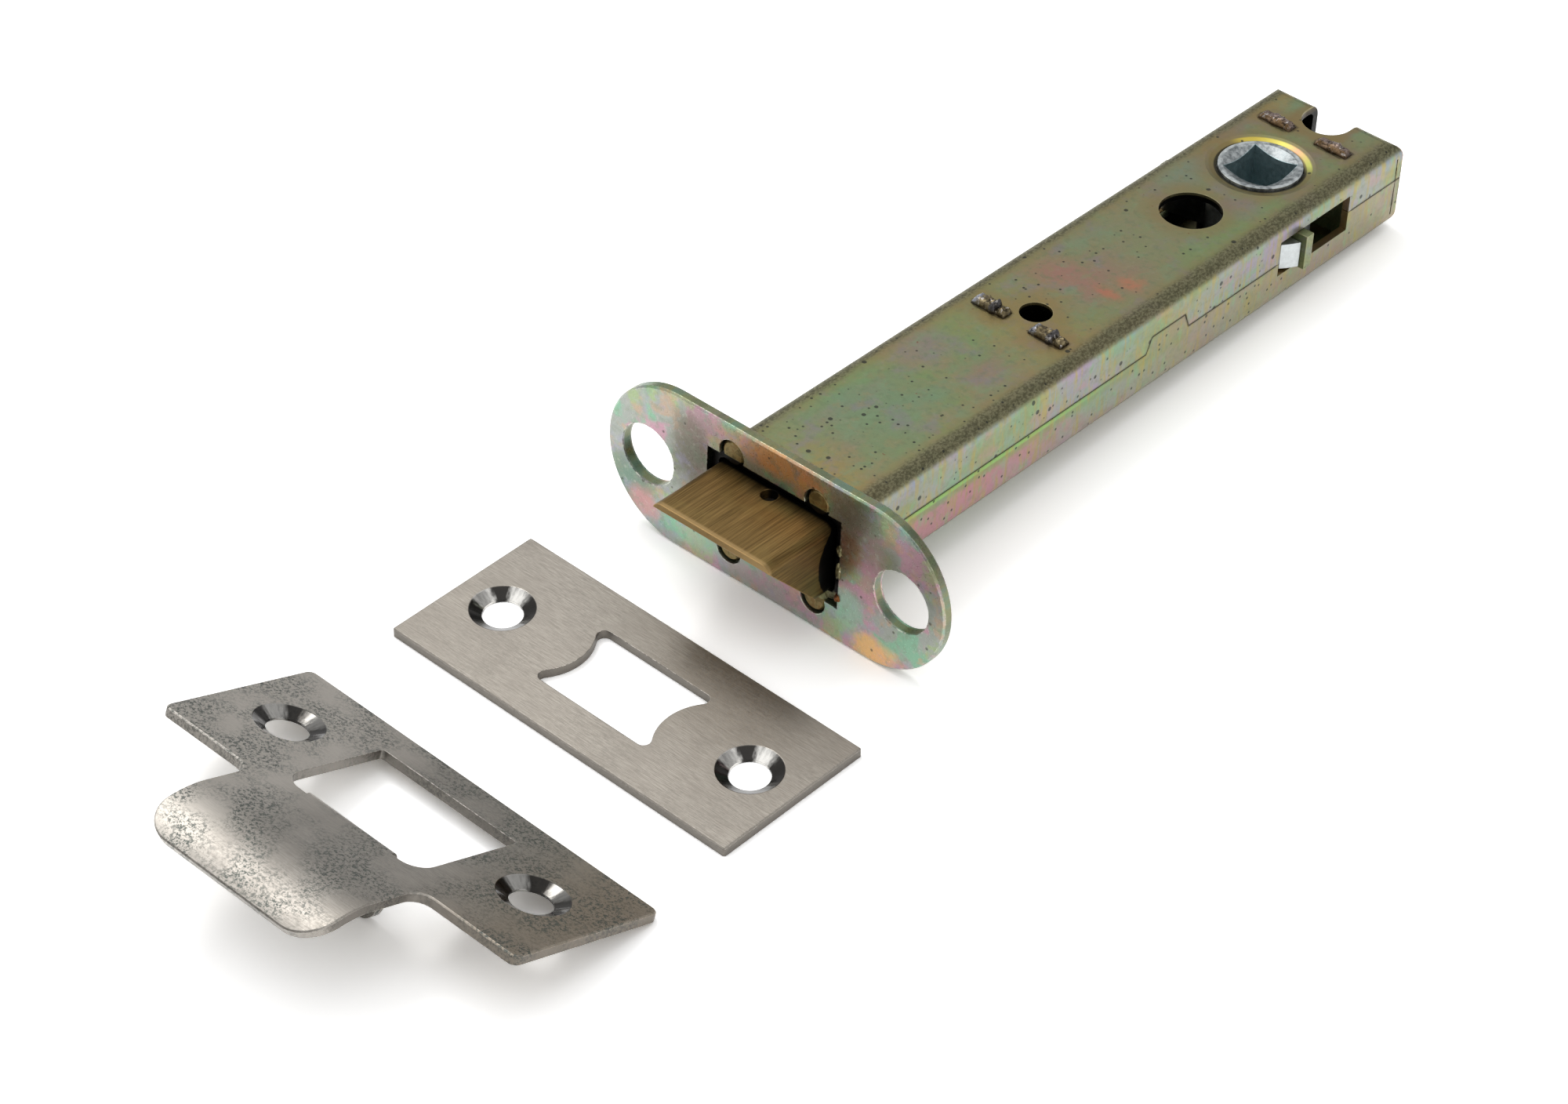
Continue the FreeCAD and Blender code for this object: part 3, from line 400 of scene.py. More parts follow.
def side_film(shader, seed, lower):
    """The side walls: small pale clouds with golden streaks up the wall, pink low down in front."""
    colour = film(shader, SILVER, SIDE_CLOUDS, seed)
    if lower:
        front = shader.span(shader.plus(shader.y, shader.noise(9.0, seed=4.0), 30.0), 72.0, 44.0)
        colour = shader.tint(colour, tone(150, 138, 96), shader.span(shader.y, 50.0, 78.0), 0.55)
        blush = shader.noise(9.0, detail=4.0, stretch=(1, 2, 1), seed=8.0)
        colour = shader.tint(colour, ROSE, shader.span(blush, 0.48, 0.62), 0.5)
        colour = shader.tint(colour, PINK, shader.times(shader.span(shader.z, -0.6, -2.0), front), 0.8)
        green = shader.times(shader.span(shader.z, -2.0, -0.9), shader.span(shader.y, 90.0, 60.0))
        colour = shader.tint(colour, tone(128, 142, 84), green, 0.55)
        line = shader.times(shader.span(shader.z, -0.75, -0.35), shader.span(shader.y, 66.0, 40.0))
        colour = shader.tint(colour, tone(140, 186, 100), line, 0.8)
    streak = shader.noise(1.0, roughness=0.6, stretch=(2, 0.9, 6), seed=seed + 5)
    colour = shader.tint(colour, tone(160, 146, 84), shader.span(streak, 0.50, 0.66), 0.6)
    return film(shader, colour, SIDE_GRAIN, seed + 7)


def passivated(name, seed, lower=False):
    """Yellow passivated zinc on pressed sheet: cloudy top, streaked side walls, grainy bends."""
    shader = Shader(name)
    across = shader.away(shader.x)
    level = shader.away(shader.z)
    on_side = shader.times(shader.span(across, HALF_WIDTH - 1.4, HALF_WIDTH - 0.5),
                           shader.span(level, HALF_HEIGHT - 0.6, HALF_HEIGHT - 1.6))
    colour = shader.mix(on_side, top_film(shader, seed), side_film(shader, seed + 1, lower))
    halo = shader.most(hole_halo(shader, FIXING_Y, 3.6, 7.6), hole_halo(shader, DRAIN_Y, 1.4, 6.0),
                       hole_halo(shader, FOLLOWER_Y, 6.4, 10.2), stake_halo(shader))
    colour = shader.tint(colour, BROWN, shader.times(halo, shader.opposite(on_side)), 0.5)
    browned = notch_brown(shader, across)
    colour = shader.tint(colour, BROWN, browned, 0.7)
    colour = dish_painted_light(shader, colour, level)

    drift = shader.noise(2.2, detail=4.0, stretch=(1, 2.5, 1), seed=seed + 6)
    uneven = shader.plus(across, drift, 1.2)
    near_bend = shader.span(level, HALF_HEIGHT - 1.7, HALF_HEIGHT - 0.75)
    bend = shader.times(near_bend, shader.span(uneven, BEND_START - 0.2, BEND_START + 1.1))
    pits = shader.noise(0.34, roughness=0.65, stretch=(1, 1.5, 1), seed=seed + 8)
    crushed = shader.mix(shader.span(pits, 0.38, 0.64), tone(80, 78, 60), tone(126, 123, 97))
    fringe = shader.times(near_bend, shader.span(across, BEND_START - 2.2, BEND_START - 0.2))
    colour = shader.tint(colour, tone(140, 120, 76), fringe, 0.35)
    colour = shader.tint(colour, crushed, bend, 0.85)

    crowd = shader.span(shader.y, 48.0, 16.0, 0.10, 0.10 if lower else 0.42)
    speck = shader.most(shader.dots(1.0, 0.20, crowd, seed), shader.dots(2.7, 0.36, 0.22, seed + 1))
    colour = shader.tint(colour, tone(48, 50, 46), speck, 0.85)
    colour = case_wear(shader, colour, seed)
    colour = case_darks(shader, colour, across, level, on_side, browned)
    ear = shader.times(shader.span(shader.y, 2.4, 1.9), shader.span(level, 7.3, 7.5))
    colour = shader.tint(colour, ear_colour(shader), ear)

    skin = shader.span(shader.noise(0.6, seed=2), 0.3, 0.7, 0.36, 0.46)
    height = shader.plus(shader.times(pits, shader.plus(0.10, bend)), shader.noise(1.8, seed=seed + 2), 0.5)
    height = shader.plus(height, speck, -0.5)
    return shader.finish(colour, 0.86, shader.plus(skin, bend, 0.10), height, 0.32, 0.05, edge=0.12)


def case_wear(shader, colour, seed):
    """Spots of rust, and edges worn bright, coppery at the rear end."""
    colour = shader.tint(colour, tone(120, 78, 60), shader.specks(1.3, 0.74, seed + 4), 0.6)
    colour = shader.tint(colour, tone(186, 182, 148), shader.edges(0.25), 0.4)
    copper = shader.times(shader.edges(0.5), shader.span(shader.y, REAR_END - 1.2, REAR_END - 0.5))
    return shader.tint(colour, tone(196, 138, 96), copper, 0.8)


def case_darks(shader, colour, across, level, on_side, browned):
    """Dark lines where the shells meet, painted shade where the staked heads meet the case, the walls of the
    openings, and painted shade within.
    """
    beside = shader.most(shader.span(shader.y, WINDOW_FRONT - 0.4, WINDOW_FRONT - 0.9),
                         shader.span(shader.y, WINDOW_REAR + 0.4, WINDOW_REAR + 0.9))
    seam = shader.times(beside, on_side, shader.span(level, 3.6, 3.2), shader.edges(0.7))
    colour = shader.tint(colour, tone(48, 44, 30), seam)
    # Painted shade round the foot of each staked head
    outline = shader.times(stake_contact_shade(shader, across), shader.span(level, 6.6, 7.0))
    colour = shader.tint(colour, tone(44, 38, 28), outline, 0.6)
    notch_wall = shader.times(browned, shader.span(level, 7.05, 6.8))
    colour = shader.tint(colour, tone(52, 42, 28), notch_wall, 0.85)
    flange = shader.times(shader.span(across, 6.4, 5.6), shader.span(level, 6.7, 6.3),
                          shader.span(shader.y, NOTCH_Y - 0.4, NOTCH_Y + 0.6))
    colour = shader.tint(colour, tone(44, 36, 26), flange, 0.8)
    window_wall = shader.times(shader.span(across, HALF_WIDTH - 0.05, HALF_WIDTH - 0.15),
                               shader.span(across, HALF_WIDTH - 1.45, HALF_WIDTH - 1.25),
                               shader.opposite(beside), shader.span(level, 4.6, 4.2))
    colour = shader.tint(colour, tone(152, 118, 70), window_wall, 0.7)
    # Painted shade within the case, its holes and its mouth
    return shader.tint(colour, SHADE_BLACK, case_painted_shade(shader, across, level))


def dish_painted_light(shader, colour, level):
    """The dished rim round the follower: painted shade in the gap next to it, then a painted gold and pink
    highlight on the band where it faces the light.
    """
    reach = shader.axis_distance((0, FOLLOWER_Y, 0))
    top = shader.span(level, 6.2, 6.6)
    band = shader.times(shader.span(shader.away(reach, DISH_RADIUS), 0.58, 0.28), top)
    back = shader.span(shader.plus(shader.y, shader.x, -0.1), FOLLOWER_Y + 2.2, FOLLOWER_Y + 5.0)
    colour = shader.tint(colour, tone(128, 112, 66), band, 0.45)
    highlight_tones = shader.shades(shader.x, -5.5, 6.0, tone(206, 186, 84), tone(238, 230, 120),
                          tone(244, 186, 150), tone(206, 214, 112))
    # Painted highlight on the back of the band
    colour = shader.tint(colour, highlight_tones, shader.times(band, back), 0.95)
    # Painted shade in the gap round the follower
    gap = shader.times(shader.span(reach, 7.0, 6.75), top, shader.plus(1.0, back, -0.75))
    return shader.tint(colour, SHADE_BLACK, gap, 0.85)


def case_painted_shade(shader, across, level):
    """Painted shade: black within the case and on the walls of its holes below a thin rim, and grease with
    painted shade at its mouth.
    """
    shaded_inside = shader.times(shader.span(across, HALF_WIDTH - 1.2, HALF_WIDTH - 1.5),
                          shader.span(level, HALF_HEIGHT - 1.0, HALF_HEIGHT - 1.4))
    shade = shader.most(shader.span(shader.y, FIXING_Y + 5.0, FIXING_Y + 8.0, 1.0, 0.25),
                        shader.span(shader.x, -1.0, -3.0))
    mouth = shader.times(shader.span(shader.y, 3.4, 2.2), shader.span(level, 7.45, 7.25),
                         shader.span(shader.z, -6.2, -5.4))
    bores = 0.0
    for y, radius in ((FIXING_Y, FIXING_RADIUS), (DRAIN_Y, DRAIN_RADIUS)):
        bores = shader.most(bores, shader.span(shader.axis_distance((0, y, 0)), radius + 0.25, radius + 0.1))
    below = shader.most(shader.span(level, HALF_HEIGHT - 0.30, HALF_HEIGHT - 0.55),
                        shader.span(shader.z, 0.0, -1.0))
    return shader.most(shader.times(shaded_inside, shade), mouth, shader.times(bores, below))


def notch_brown(shader, across):
    """Browned steel about the notch in the rear end."""
    across = shader.plus(across, shader.noise(1.6, seed=6.0), -1.6)
    return shader.times(shader.span(across, 4.9, 3.6), shader.span(shader.y, NOTCH_Y - 1.8, NOTCH_Y))


def stake_contact_shade(shader, across):
    """Painted shade: a dark line on the case where the staked heads meet it."""
    long_way = shader.maths("DIVIDE", shader.away(across, STAKE_X), LUMP_LENGTH)
    total = 0.0
    for row in STAKE_ROWS:
        short_way = shader.maths("DIVIDE", shader.away(shader.y, row), LUMP_WIDTH + 0.15)
        reach = shader.plus(shader.maths("POWER", long_way, 4.0), shader.maths("POWER", short_way, 4.0))
        reach = shader.plus(shader.maths("POWER", reach, 0.25), shader.noise(0.9, seed=row), -0.4)
        total = shader.most(total, shader.span(reach, 1.0, 0.80))
    return total


def ear_colour(shader):
    """The staked ears in the forend's lobes: brassy, with a dark outline of painted shade where they meet the
    lobes.
    """
    mirrored = shader.put("CombineXYZ", X=shader.away(shader.x), Y=0.0, Z=shader.away(shader.z)).outputs[0]
    reach = shader.vector("LENGTH", shader.vector("SUBTRACT", mirrored, (EAR_X, 0, EAR_Z)))
    reach = shader.plus(reach, shader.noise(0.8, seed=3.0), 0.5)
    face = shader.shades(shader.noise(0.9, seed=5.0), 0.35, 0.65,
                         tone(112, 98, 62), tone(146, 130, 86), tone(128, 104, 64))
    # Painted shade round each ear
    return shader.tint(face, tone(42, 38, 30), shader.span(reach, EAR_RADIUS - 0.2, EAR_RADIUS + 0.25))


# Patches on the forend's face: x, z, half width, half height, colour, share
FOREND_PATCHES = (
    (18.3, -10.6, 3.4, 2.2, tone(232, 184, 124), 0.85),
    (-14.6, 5.0, 3.4, 6.5, tone(122, 116, 102), 0.85),
    (0.5, 10.9, 8.5, 2.1, tone(228, 168, 112), 0.85),
    # This brown patch is stain with a painted reflection of the bolt
    (13.6, 3.0, 2.2, 4.6, tone(140, 104, 76), 0.80),
    (14.6, 9.4, 4.0, 2.6, tone(132, 126, 112), 0.80),
    (-26.0, -6.6, 4.0, 4.6, tone(112, 130, 118), 0.85),
    (18.8, 5.0, 3.0, 3.4, tone(126, 126, 106), 0.75),
    (-23.0, -8.6, 2.8, 2.2, tone(204, 142, 146), 0.70),
    (-14.0, -9.6, 4.6, 2.0, tone(150, 196, 164), 0.60),
    (13.5, -6.5, 2.6, 3.0, tone(156, 196, 172), 0.60),
    (17.6, 0.6, 2.2, 4.6, tone(196, 142, 158), 0.55),
    (0.0, -10.6, 9.0, 1.6, tone(178, 152, 158), 0.50),
)
FOREND_PATCH_DEPTH = 6


def forend_finish():
    """Paler film on the forend, with the patches round its opening, one of them partly a painted reflection
    of the bolt, edges worn and given painted highlights, and painted shade with grease on the walls of its
    opening.
    """
    shader = Shader("forend_steel")
    colour = film(shader, tone(160, 165, 158), FOREND_CLOUDS, 4.0, soft=0.09)
    for index, (x, z, half_width, half_height, patch, share) in enumerate(FOREND_PATCHES):
        mask = shader.blob((x, 0, z), (half_width, FOREND_PATCH_DEPTH, half_height), seed=index + 1.0)
        colour = shader.tint(colour, patch, mask, share)
    colour = film(shader, colour, FOREND_GRAIN, 15.0)
    colour = shader.tint(colour, tone(74, 74, 64), shader.dots(1.9, 0.22, 0.35, 3.0), 0.7)
    rim = shader.times(shader.span(shader.y, 0.15, 0.4), shader.span(shader.y, 1.55, 1.3))
    side = shader.shades(shader.noise(3.0, detail=4.0, stretch=(1, 3, 1), seed=17.0), 0.35, 0.65,
                         tone(92, 104, 78), tone(118, 124, 86), tone(98, 124, 104))
    colour = shader.tint(colour, side, rim, 0.85)
    # Edges worn bright and dark, the bright part also a painted highlight
    edge_wear_and_highlight = shader.edges(0.4)
    scuff = shader.noise(0.8, seed=9.0)
    colour = shader.tint(colour, tone(92, 96, 80), shader.times(edge_wear_and_highlight, shader.span(scuff, 0.46, 0.40)))
    colour = shader.tint(colour, tone(236, 240, 222), shader.times(edge_wear_and_highlight, shader.span(scuff, 0.50, 0.56)))
    # Painted shade, with grease, on the walls of the opening
    shaded_inside = shader.times(
        shader.span(shader.away(shader.x), OPENING_HALF_WIDTH + 0.25, OPENING_HALF_WIDTH),
        shader.span(shader.away(shader.z), OPENING_HALF_HEIGHT + 0.25, OPENING_HALF_HEIGHT),
        shader.span(shader.z, -5.6, -4.6, 0.35, 0.85))
    colour = shader.tint(colour, SHADE_BLACK, shaded_inside)
    grain = shader.noise(0.3, seed=12.0)
    height = shader.plus(grain, shader.noise(2.6, seed=13.0), 1.6)
    return shader.finish(colour, 0.86, shader.span(grain, 0.3, 0.7, 0.26, 0.4), height, 0.25, 0.04, edge=0.18)


# Where grease and painted shade blacken the bolt's side beside the opening
BRASS_GREASE_SHADE_MIDDLE, BRASS_GREASE_SHADE_HALF, BRASS_GREASE_SHADE_REACH = -0.6, 5.2, 2.5


def brass_finish():
    """Brass brushed along the bolt, darkened in streaks, worn bright with a painted highlight at its tip, and
    black with grease and painted shade beside the opening.
    """
    shader = Shader("aged_brass")
    hair = shader.brushed(0.10, 8.0, "y", 1.0)
    lines = shader.brushed(0.32, 16.0, "y", 5.0)
    colour = shader.shades(hair, 0.3, 0.7, tone(96, 76, 42), tone(140, 114, 68))
    colour = shader.tint(colour, tone(84, 66, 36), shader.span(lines, 0.50, 0.62), 0.65)
    colour = shader.tint(colour, tone(164, 136, 86), shader.span(lines, 0.44, 0.32), 0.5)
    cloud = shader.noise(6.0, seed=4.0)
    colour = shader.tint(colour, tone(130, 112, 66), shader.span(cloud, 0.48, 0.72), 0.5)
    bolt_low, bolt_high = box_mm("bolt_head")
    # Worn bright tip, also a painted highlight
    tip = shader.span(shader.y, bolt_low.y + 0.9, bolt_low.y + 0.4)
    colour = shader.tint(colour, tone(172, 144, 98), tip, 0.7)
    colour = shader.tint(colour, tone(196, 158, 104), shader.edges(0.35), 0.5)
    height = shader.maths("DIVIDE", shader.maths("SUBTRACT", shader.z, BRASS_GREASE_SHADE_MIDDLE), BRASS_GREASE_SHADE_HALF)
    limit = shader.plus(-BRASS_GREASE_SHADE_REACH, shader.maths("POWER", height, 2.0), 2.0)
    limit = shader.plus(limit, shader.noise(1.2, seed=6.0), 0.5)
    past = shader.span(shader.maths("SUBTRACT", shader.y, limit), -0.15, 0.15)
    on_side = shader.span(shader.away(shader.x), bolt_high.x - 0.35, bolt_high.x - 0.1)
    # Grease and painted shade on the side near the opening, and all over past the forend's face
    grease_and_shade = shader.most(shader.times(past, on_side), shader.span(shader.y, -0.35, 0.4))
    colour = shader.tint(colour, SHADE_BLACK, grease_and_shade)
    return shader.finish(colour, 0.9, shader.span(hair, 0.2, 0.8, 0.34, 0.46), hair, 0.2, 0.02, edge=0.2)


# Both plates: the ends of the brushing's tones, and the way and share of the painted glints in the
# countersinks
COVER_TONES = (tone(142, 136, 128), tone(174, 168, 159))
COVER_GLINTS = (((-0.99, 0.02, 0.0), 1.0), ((-0.16, 0.98, 0.0), 0.9))
STRIKE_TONES = (tone(152, 147, 140), tone(182, 177, 170))
STRIKE_GLINTS = (((-0.93, 0.30, 0.0), 0.5), ((0.20, 0.96, 0.0), 0.25))
WARM_END = (8.0, 28.0)
PALE_END = (-4.0, -16.0)


def countersinks(shader, names, radius):
    """Where the countersunk holes are, from 0 to 1."""
    total = 0.0
    for name in names:
        reach = shader.axis_distance(mount_mm(name), mounts[name]["axis"])
        total = shader.most(total, shader.span(reach, radius + 0.05, radius - 0.15))
    return total


def sink_marks(shader, names, glints):
    """Tool marks, and painted glints in sectors of the countersunk holes, both by the angle round each axis.
    """
    marks, painted_glints = 0.0, 0.0
    for name in names:
        offset = shader.vector("SUBTRACT", shader.place, mount_mm(name))
        outward = shader.vector("NORMALIZE", offset)
        near = shader.span(shader.vector("LENGTH", offset), 9.0, 7.0)
        marks = shader.plus(marks, shader.noise(0.55, detail=2.5, seed=6.0, place=outward), near)
        for direction, share in glints:
            toward = shader.vector("DOT_PRODUCT", outward, direction)
            toward = shader.plus(toward, shader.noise(0.12, detail=4.0, seed=8.0, place=outward), 0.16)
            painted_glints = shader.most(painted_glints, shader.times(shader.span(toward, 0.93, 1.07, 0.0, share), near))
    return marks, painted_glints


def nickel_finish(name, sinks, sink_radius, tones, mottle, seed, glints, faded=False):
    """Satin nickel plate, brushed along its length, with tarnish, edges worn bright and given painted
    highlights, and countersinks darkened with painted shade under painted glints.
    """
    shader = Shader(name)
    lines = shader.brushed(0.10, 2.2, "x", seed)
    colour = shader.shades(lines, 0.32, 0.68, *tones)
    cloud = shader.noise(9.0, detail=2.0, seed=seed + 2)
    colour = shader.tint(colour, tones[0], shader.span(cloud, 0.35, 0.7), 0.45)
    if faded:
        colour = shader.tint(colour, tone(156, 138, 112), shader.span(shader.x, *WARM_END), 0.45)
        colour = shader.tint(colour, tone(226, 220, 211), shader.span(shader.x, *PALE_END), 0.40)
    spots = shader.noise(0.5, detail=4.0, roughness=0.85, seed=seed + 3)
    where = shader.span(shader.noise(7.0, detail=2.0, seed=seed + 4), 0.3, 0.62)
    tarnish = shader.times(shader.span(spots, 0.48, 0.56), where)
    colour = shader.tint(colour, tone(88, 94, 90), tarnish, mottle)
    normal = shader.put("NewGeometry").outputs["True Normal"]
    flat = shader.away(shader.vector("DOT_PRODUCT", normal, tuple(mounts[sinks[0]]["axis"])))
    colour = shader.tint(colour, tone(86, 82, 76), shader.span(flat, 0.3, 0.1), 0.65)
    # Edges worn bright and dark, the bright part also a painted highlight
    edge_wear_and_highlight = shader.edges(0.16)
    scuff = shader.noise(0.5, seed=seed + 8)
    colour = shader.tint(colour, tone(238, 232, 222), shader.times(edge_wear_and_highlight, shader.span(scuff, 0.48, 0.56)))
    colour = shader.tint(colour, tone(84, 80, 74), shader.times(edge_wear_and_highlight, shader.span(scuff, 0.48, 0.42)), 0.7)
    sink = countersinks(shader, sinks, sink_radius)
    marks, painted_glints = sink_marks(shader, sinks, glints)
    # Painted shade in the countersinks, under painted glints and bright streaks along the tool marks
    colour = shader.tint(colour, tone(38, 37, 36), sink, 0.96)
    bright = shader.times(sink, shader.most(painted_glints, shader.span(marks, 0.62, 0.78, 0.0, 0.5)))
    colour = shader.tint(colour, tone(240, 238, 233), bright, 0.95)
    rough = shader.times(shader.span(spots, 0.3, 0.7, 0.34, 0.46), shader.plus(1.0, sink, -0.65))
    grain = shader.noise(0.22, detail=2.0, seed=seed + 6)
    height = shader.times(shader.plus(shader.times(lines, 0.6), grain, 0.7), shader.opposite(sink))
    height = shader.plus(height, marks, shader.times(sink, 9.0))
    return shader.finish(colour, 0.92, rough, height, 0.28, 0.03, edge=0.15)


def inner_finish():
    """The carriage: an olive film, grained and darker than outside, and black with painted shade far inside
    the case.
    """
    shader = Shader("passivated_steel_inner")
    colour = film(shader, OLIVE, INNER_CLOUDS, INNER_SEED)
    grain = shader.noise(0.5, roughness=0.65, seed=7.0)
    colour = shader.tint(colour, tone(92, 92, 70), shader.span(grain, 0.45, 0.7), 0.4)
    colour = shader.tint(colour, tone(186, 180, 140), shader.edges(0.3), 0.6)
    # Painted shade far inside the case
    deep_shade = shader.times(shader.span(shader.away(shader.x), 10.4, 9.6),
                        shader.span(shader.away(shader.z), 7.2, 6.6))
    colour = shader.tint(colour, SHADE_BLACK, deep_shade, 0.9)
    return shader.finish(colour, 0.86, shader.span(grain, 0.3, 0.7, 0.34, 0.46), grain, 0.3, 0.03, edge=0.2)


def zinc_finish():
    """Cast zinc with a coarse skin: bluish in the square, a painted highlight on its rim, pale on its lug,
    and painted shade where the case hides it.
    """
    shader = Shader("cast_zinc")
    coarse = shader.noise(0.7, detail=4.0, roughness=0.65, seed=1.0)
    colour = shader.shades(coarse, 0.3, 0.7, tone(116, 122, 124), tone(152, 158, 160), tone(188, 193, 194))
    reach = shader.most(shader.away(shader.x), shader.away(shader.y, FOLLOWER_Y))
    square = shader.span(reach, SQUARE_HALF + 0.12, SQUARE_HALF + 0.02)
    colour = shader.tint(colour, tone(160, 184, 188), square, 0.8)
    from_axis = shader.axis_distance((0, FOLLOWER_Y, 0))
    # Painted highlight in patches on the rounded rim of the collar
    rim = shader.times(shader.span(from_axis, 5.7, 5.9), shader.span(shader.away(shader.z), 6.6, 6.9))
    patch = shader.span(shader.noise(2.4, seed=8.0), 0.42, 0.58)
    colour = shader.tint(colour, tone(220, 226, 226), shader.times(rim, patch), 0.6)
    lug = shader.span(from_axis, 6.6, 7.2)
    colour = shader.tint(colour, tone(222, 227, 228), lug, 0.6)
    # Painted shade where the case hides the lug
    hidden_shade = shader.times(shader.span(shader.x, -2.0, -4.0), shader.span(shader.x, -10.8, -10.2), lug)
    colour = shader.tint(colour, SHADE_BLACK, hidden_shade, 0.85)
    return shader.finish(colour, 0.9, shader.span(coarse, 0.3, 0.7, 0.3, 0.5), coarse, 0.4, 0.08, edge=0.12)


def spring_finish():
    """Oiled spring steel."""
    shader = Shader("spring_steel")
    stain = shader.noise(1.8, detail=4.0, seed=3.0)
    colour = shader.shades(stain, 0.3, 0.7, tone(86, 82, 78), tone(132, 128, 122))
    draw = shader.noise(0.25, detail=2.0, seed=5.0)
    return shader.finish(colour, 0.9, shader.span(draw, 0.3, 0.7, 0.28, 0.42), draw, 0.2, 0.02)


def stake_finish():
    """The cross plates: bruised steel heads with a bright left end, a dark ridge, painted glints and painted
    shade at the foot, olive film within.
    """
    shader = Shader("staked_steel")
    along = shader.plus(shader.x, shader.maths("SIGN", shader.x), -STAKE_X)
    patch = shader.noise(0.8, detail=4.0, roughness=0.7, seed=2.0)
    along = shader.plus(along, shader.plus(-0.8, patch, 1.6))
    front_row = shader.shades(patch, 0.3, 0.7, tone(78, 68, 48), tone(132, 120, 92))
    front_row = shader.tint(front_row, tone(156, 160, 172), shader.span(along, -1.5, -2.3), 0.85)
    ridge = shader.span(shader.away(along, 0.75), 0.75, 0.35)
    front_row = shader.tint(front_row, tone(76, 76, 82), ridge, 0.85)
    rear_row = shader.shades(patch, 0.3, 0.7, tone(88, 72, 58), tone(150, 134, 128))
    foot_side = shader.span(shader.y, STAKE_ROWS[1] - 0.2, STAKE_ROWS[1] - 0.7)
    rear_row = shader.tint(rear_row, tone(126, 98, 56), foot_side, 0.6)
    colour = shader.mix(shader.span(shader.y, 80.0, 90.0), front_row, rear_row)
    # Painted glints
    colour = shader.tint(colour, tone(206, 202, 200), shader.specks(0.7, 0.62, 7.0), 0.55)
    colour = shader.tint(colour, tone(46, 40, 32), shader.specks(0.55, 0.58, 9.0), 0.75)
    level = shader.away(shader.z)
    # Painted shade at the foot of the heads
    foot = shader.span(level, HALF_HEIGHT + 0.50, HALF_HEIGHT + 0.12)
    colour = shader.tint(colour, tone(50, 40, 28), foot, 0.8)
    within = shader.span(level, HALF_HEIGHT - 0.2, HALF_HEIGHT - 0.8)
    colour = shader.tint(colour, film(shader, OLIVE, INNER_CLOUDS, INNER_SEED), within)
    return shader.finish(colour, shader.plus(0.88, within, -0.5), 0.3, patch, 0.6, 0.16, edge=0.1)


def burr_finish():
    """Displaced metal at the edge of the forend's opening, with painted glints."""
    shader = Shader("burr_steel")
    patch = shader.noise(0.9, detail=4.0, roughness=0.7, seed=3.0)
    colour = shader.shades(patch, 0.3, 0.7, tone(70, 64, 42), tone(134, 128, 94))
    # Painted glints
    colour = shader.tint(colour, tone(206, 194, 176), shader.specks(0.8, 0.66, 4.0))
    colour = shader.tint(colour, tone(118, 74, 40), shader.span(shader.z, -3.5, -4.5))
    return shader.finish(colour, 0.86, 0.34, patch, 0.5, 0.1, edge=0.1)


FLOOR_TONE = 0.9
SEEN_FLOOR_TONE = 1.5


def floor_finish():
    """A pale floor that shows white to the camera and to reflections where no shadow falls."""
    shader = Shader("pale_floor")
    ray = shader.put("LightPath").outputs
    seen = shader.most(ray["Is Camera Ray"], ray["Is Glossy Ray"], ray["Is Transmission Ray"])
    level = shader.plus(FLOOR_TONE, seen, SEEN_FLOOR_TONE - FLOOR_TONE)
    grey = shader.put("CombineXYZ", X=level, Y=level, Z=level).outputs[0]
    diffuse = shader.put("BsdfDiffuse", Color=grey)
    output = next(node for node in shader.nodes if node.type == "OUTPUT_MATERIAL")
    shader.feed(output.inputs["Surface"], diffuse.outputs[0])
    return shader.material


def dress(node, material):
    """Give a CAD node its finish through its object's own slots."""
    piece = frame["nodes"][node]
    if not piece.material_slots:
        piece.data.materials.append(material)
    for slot in piece.material_slots:
        slot.link = "OBJECT"
        slot.material = material


# Pieces

def add_object(name, data):
    added = bpy.data.objects.new(name, data)
    bpy.context.scene.collection.objects.link(added)
    return added


def add_piece(name, mesh, material, body):
    """An object that moves with one of the part's bodies, smooth all over."""
    mesh.polygons.foreach_set("use_smooth", [True] * len(mesh.polygons))
    mesh.update()
    piece = add_object(name, mesh)
    piece.data.materials.append(material)
    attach(piece, body)
    return piece


def mesh_from(name, points, faces):
    mesh = bpy.data.meshes.new(name)
    mesh.from_pydata([[value * MM for value in point] for point in points], [], faces)
    return mesh


def tube(name, centres, radius, sides):
    """A round tube along a line of points, closed at both ends."""
    points, faces = [], []
    count = len(centres)
    for index, centre in enumerate(centres):
        ahead = centres[min(index + 1, count - 1)] - centres[max(index - 1, 0)]
        ahead.normalize()
        outward = Vector((centre.x, 0, centre.z)).normalized()
        side = ahead.cross(outward).normalized()
        outward = side.cross(ahead)
        for step in range(sides):
            angle = 2 * math.pi * step / sides
            points.append(centre + radius * (math.cos(angle) * outward + math.sin(angle) * side))
    for index in range(count - 1):
        for step in range(sides):
            following = (step + 1) % sides
            here, there = index * sides, (index + 1) * sides
            faces.append((here + step, there + step, there + following, here + following))
    faces.append(tuple(range(sides)))
    faces.append(tuple(range((count - 1) * sides, count * sides))[::-1])
    return mesh_from(name, points, faces)


COIL_SIDES = 14
STEPS_PER_TURN = 48


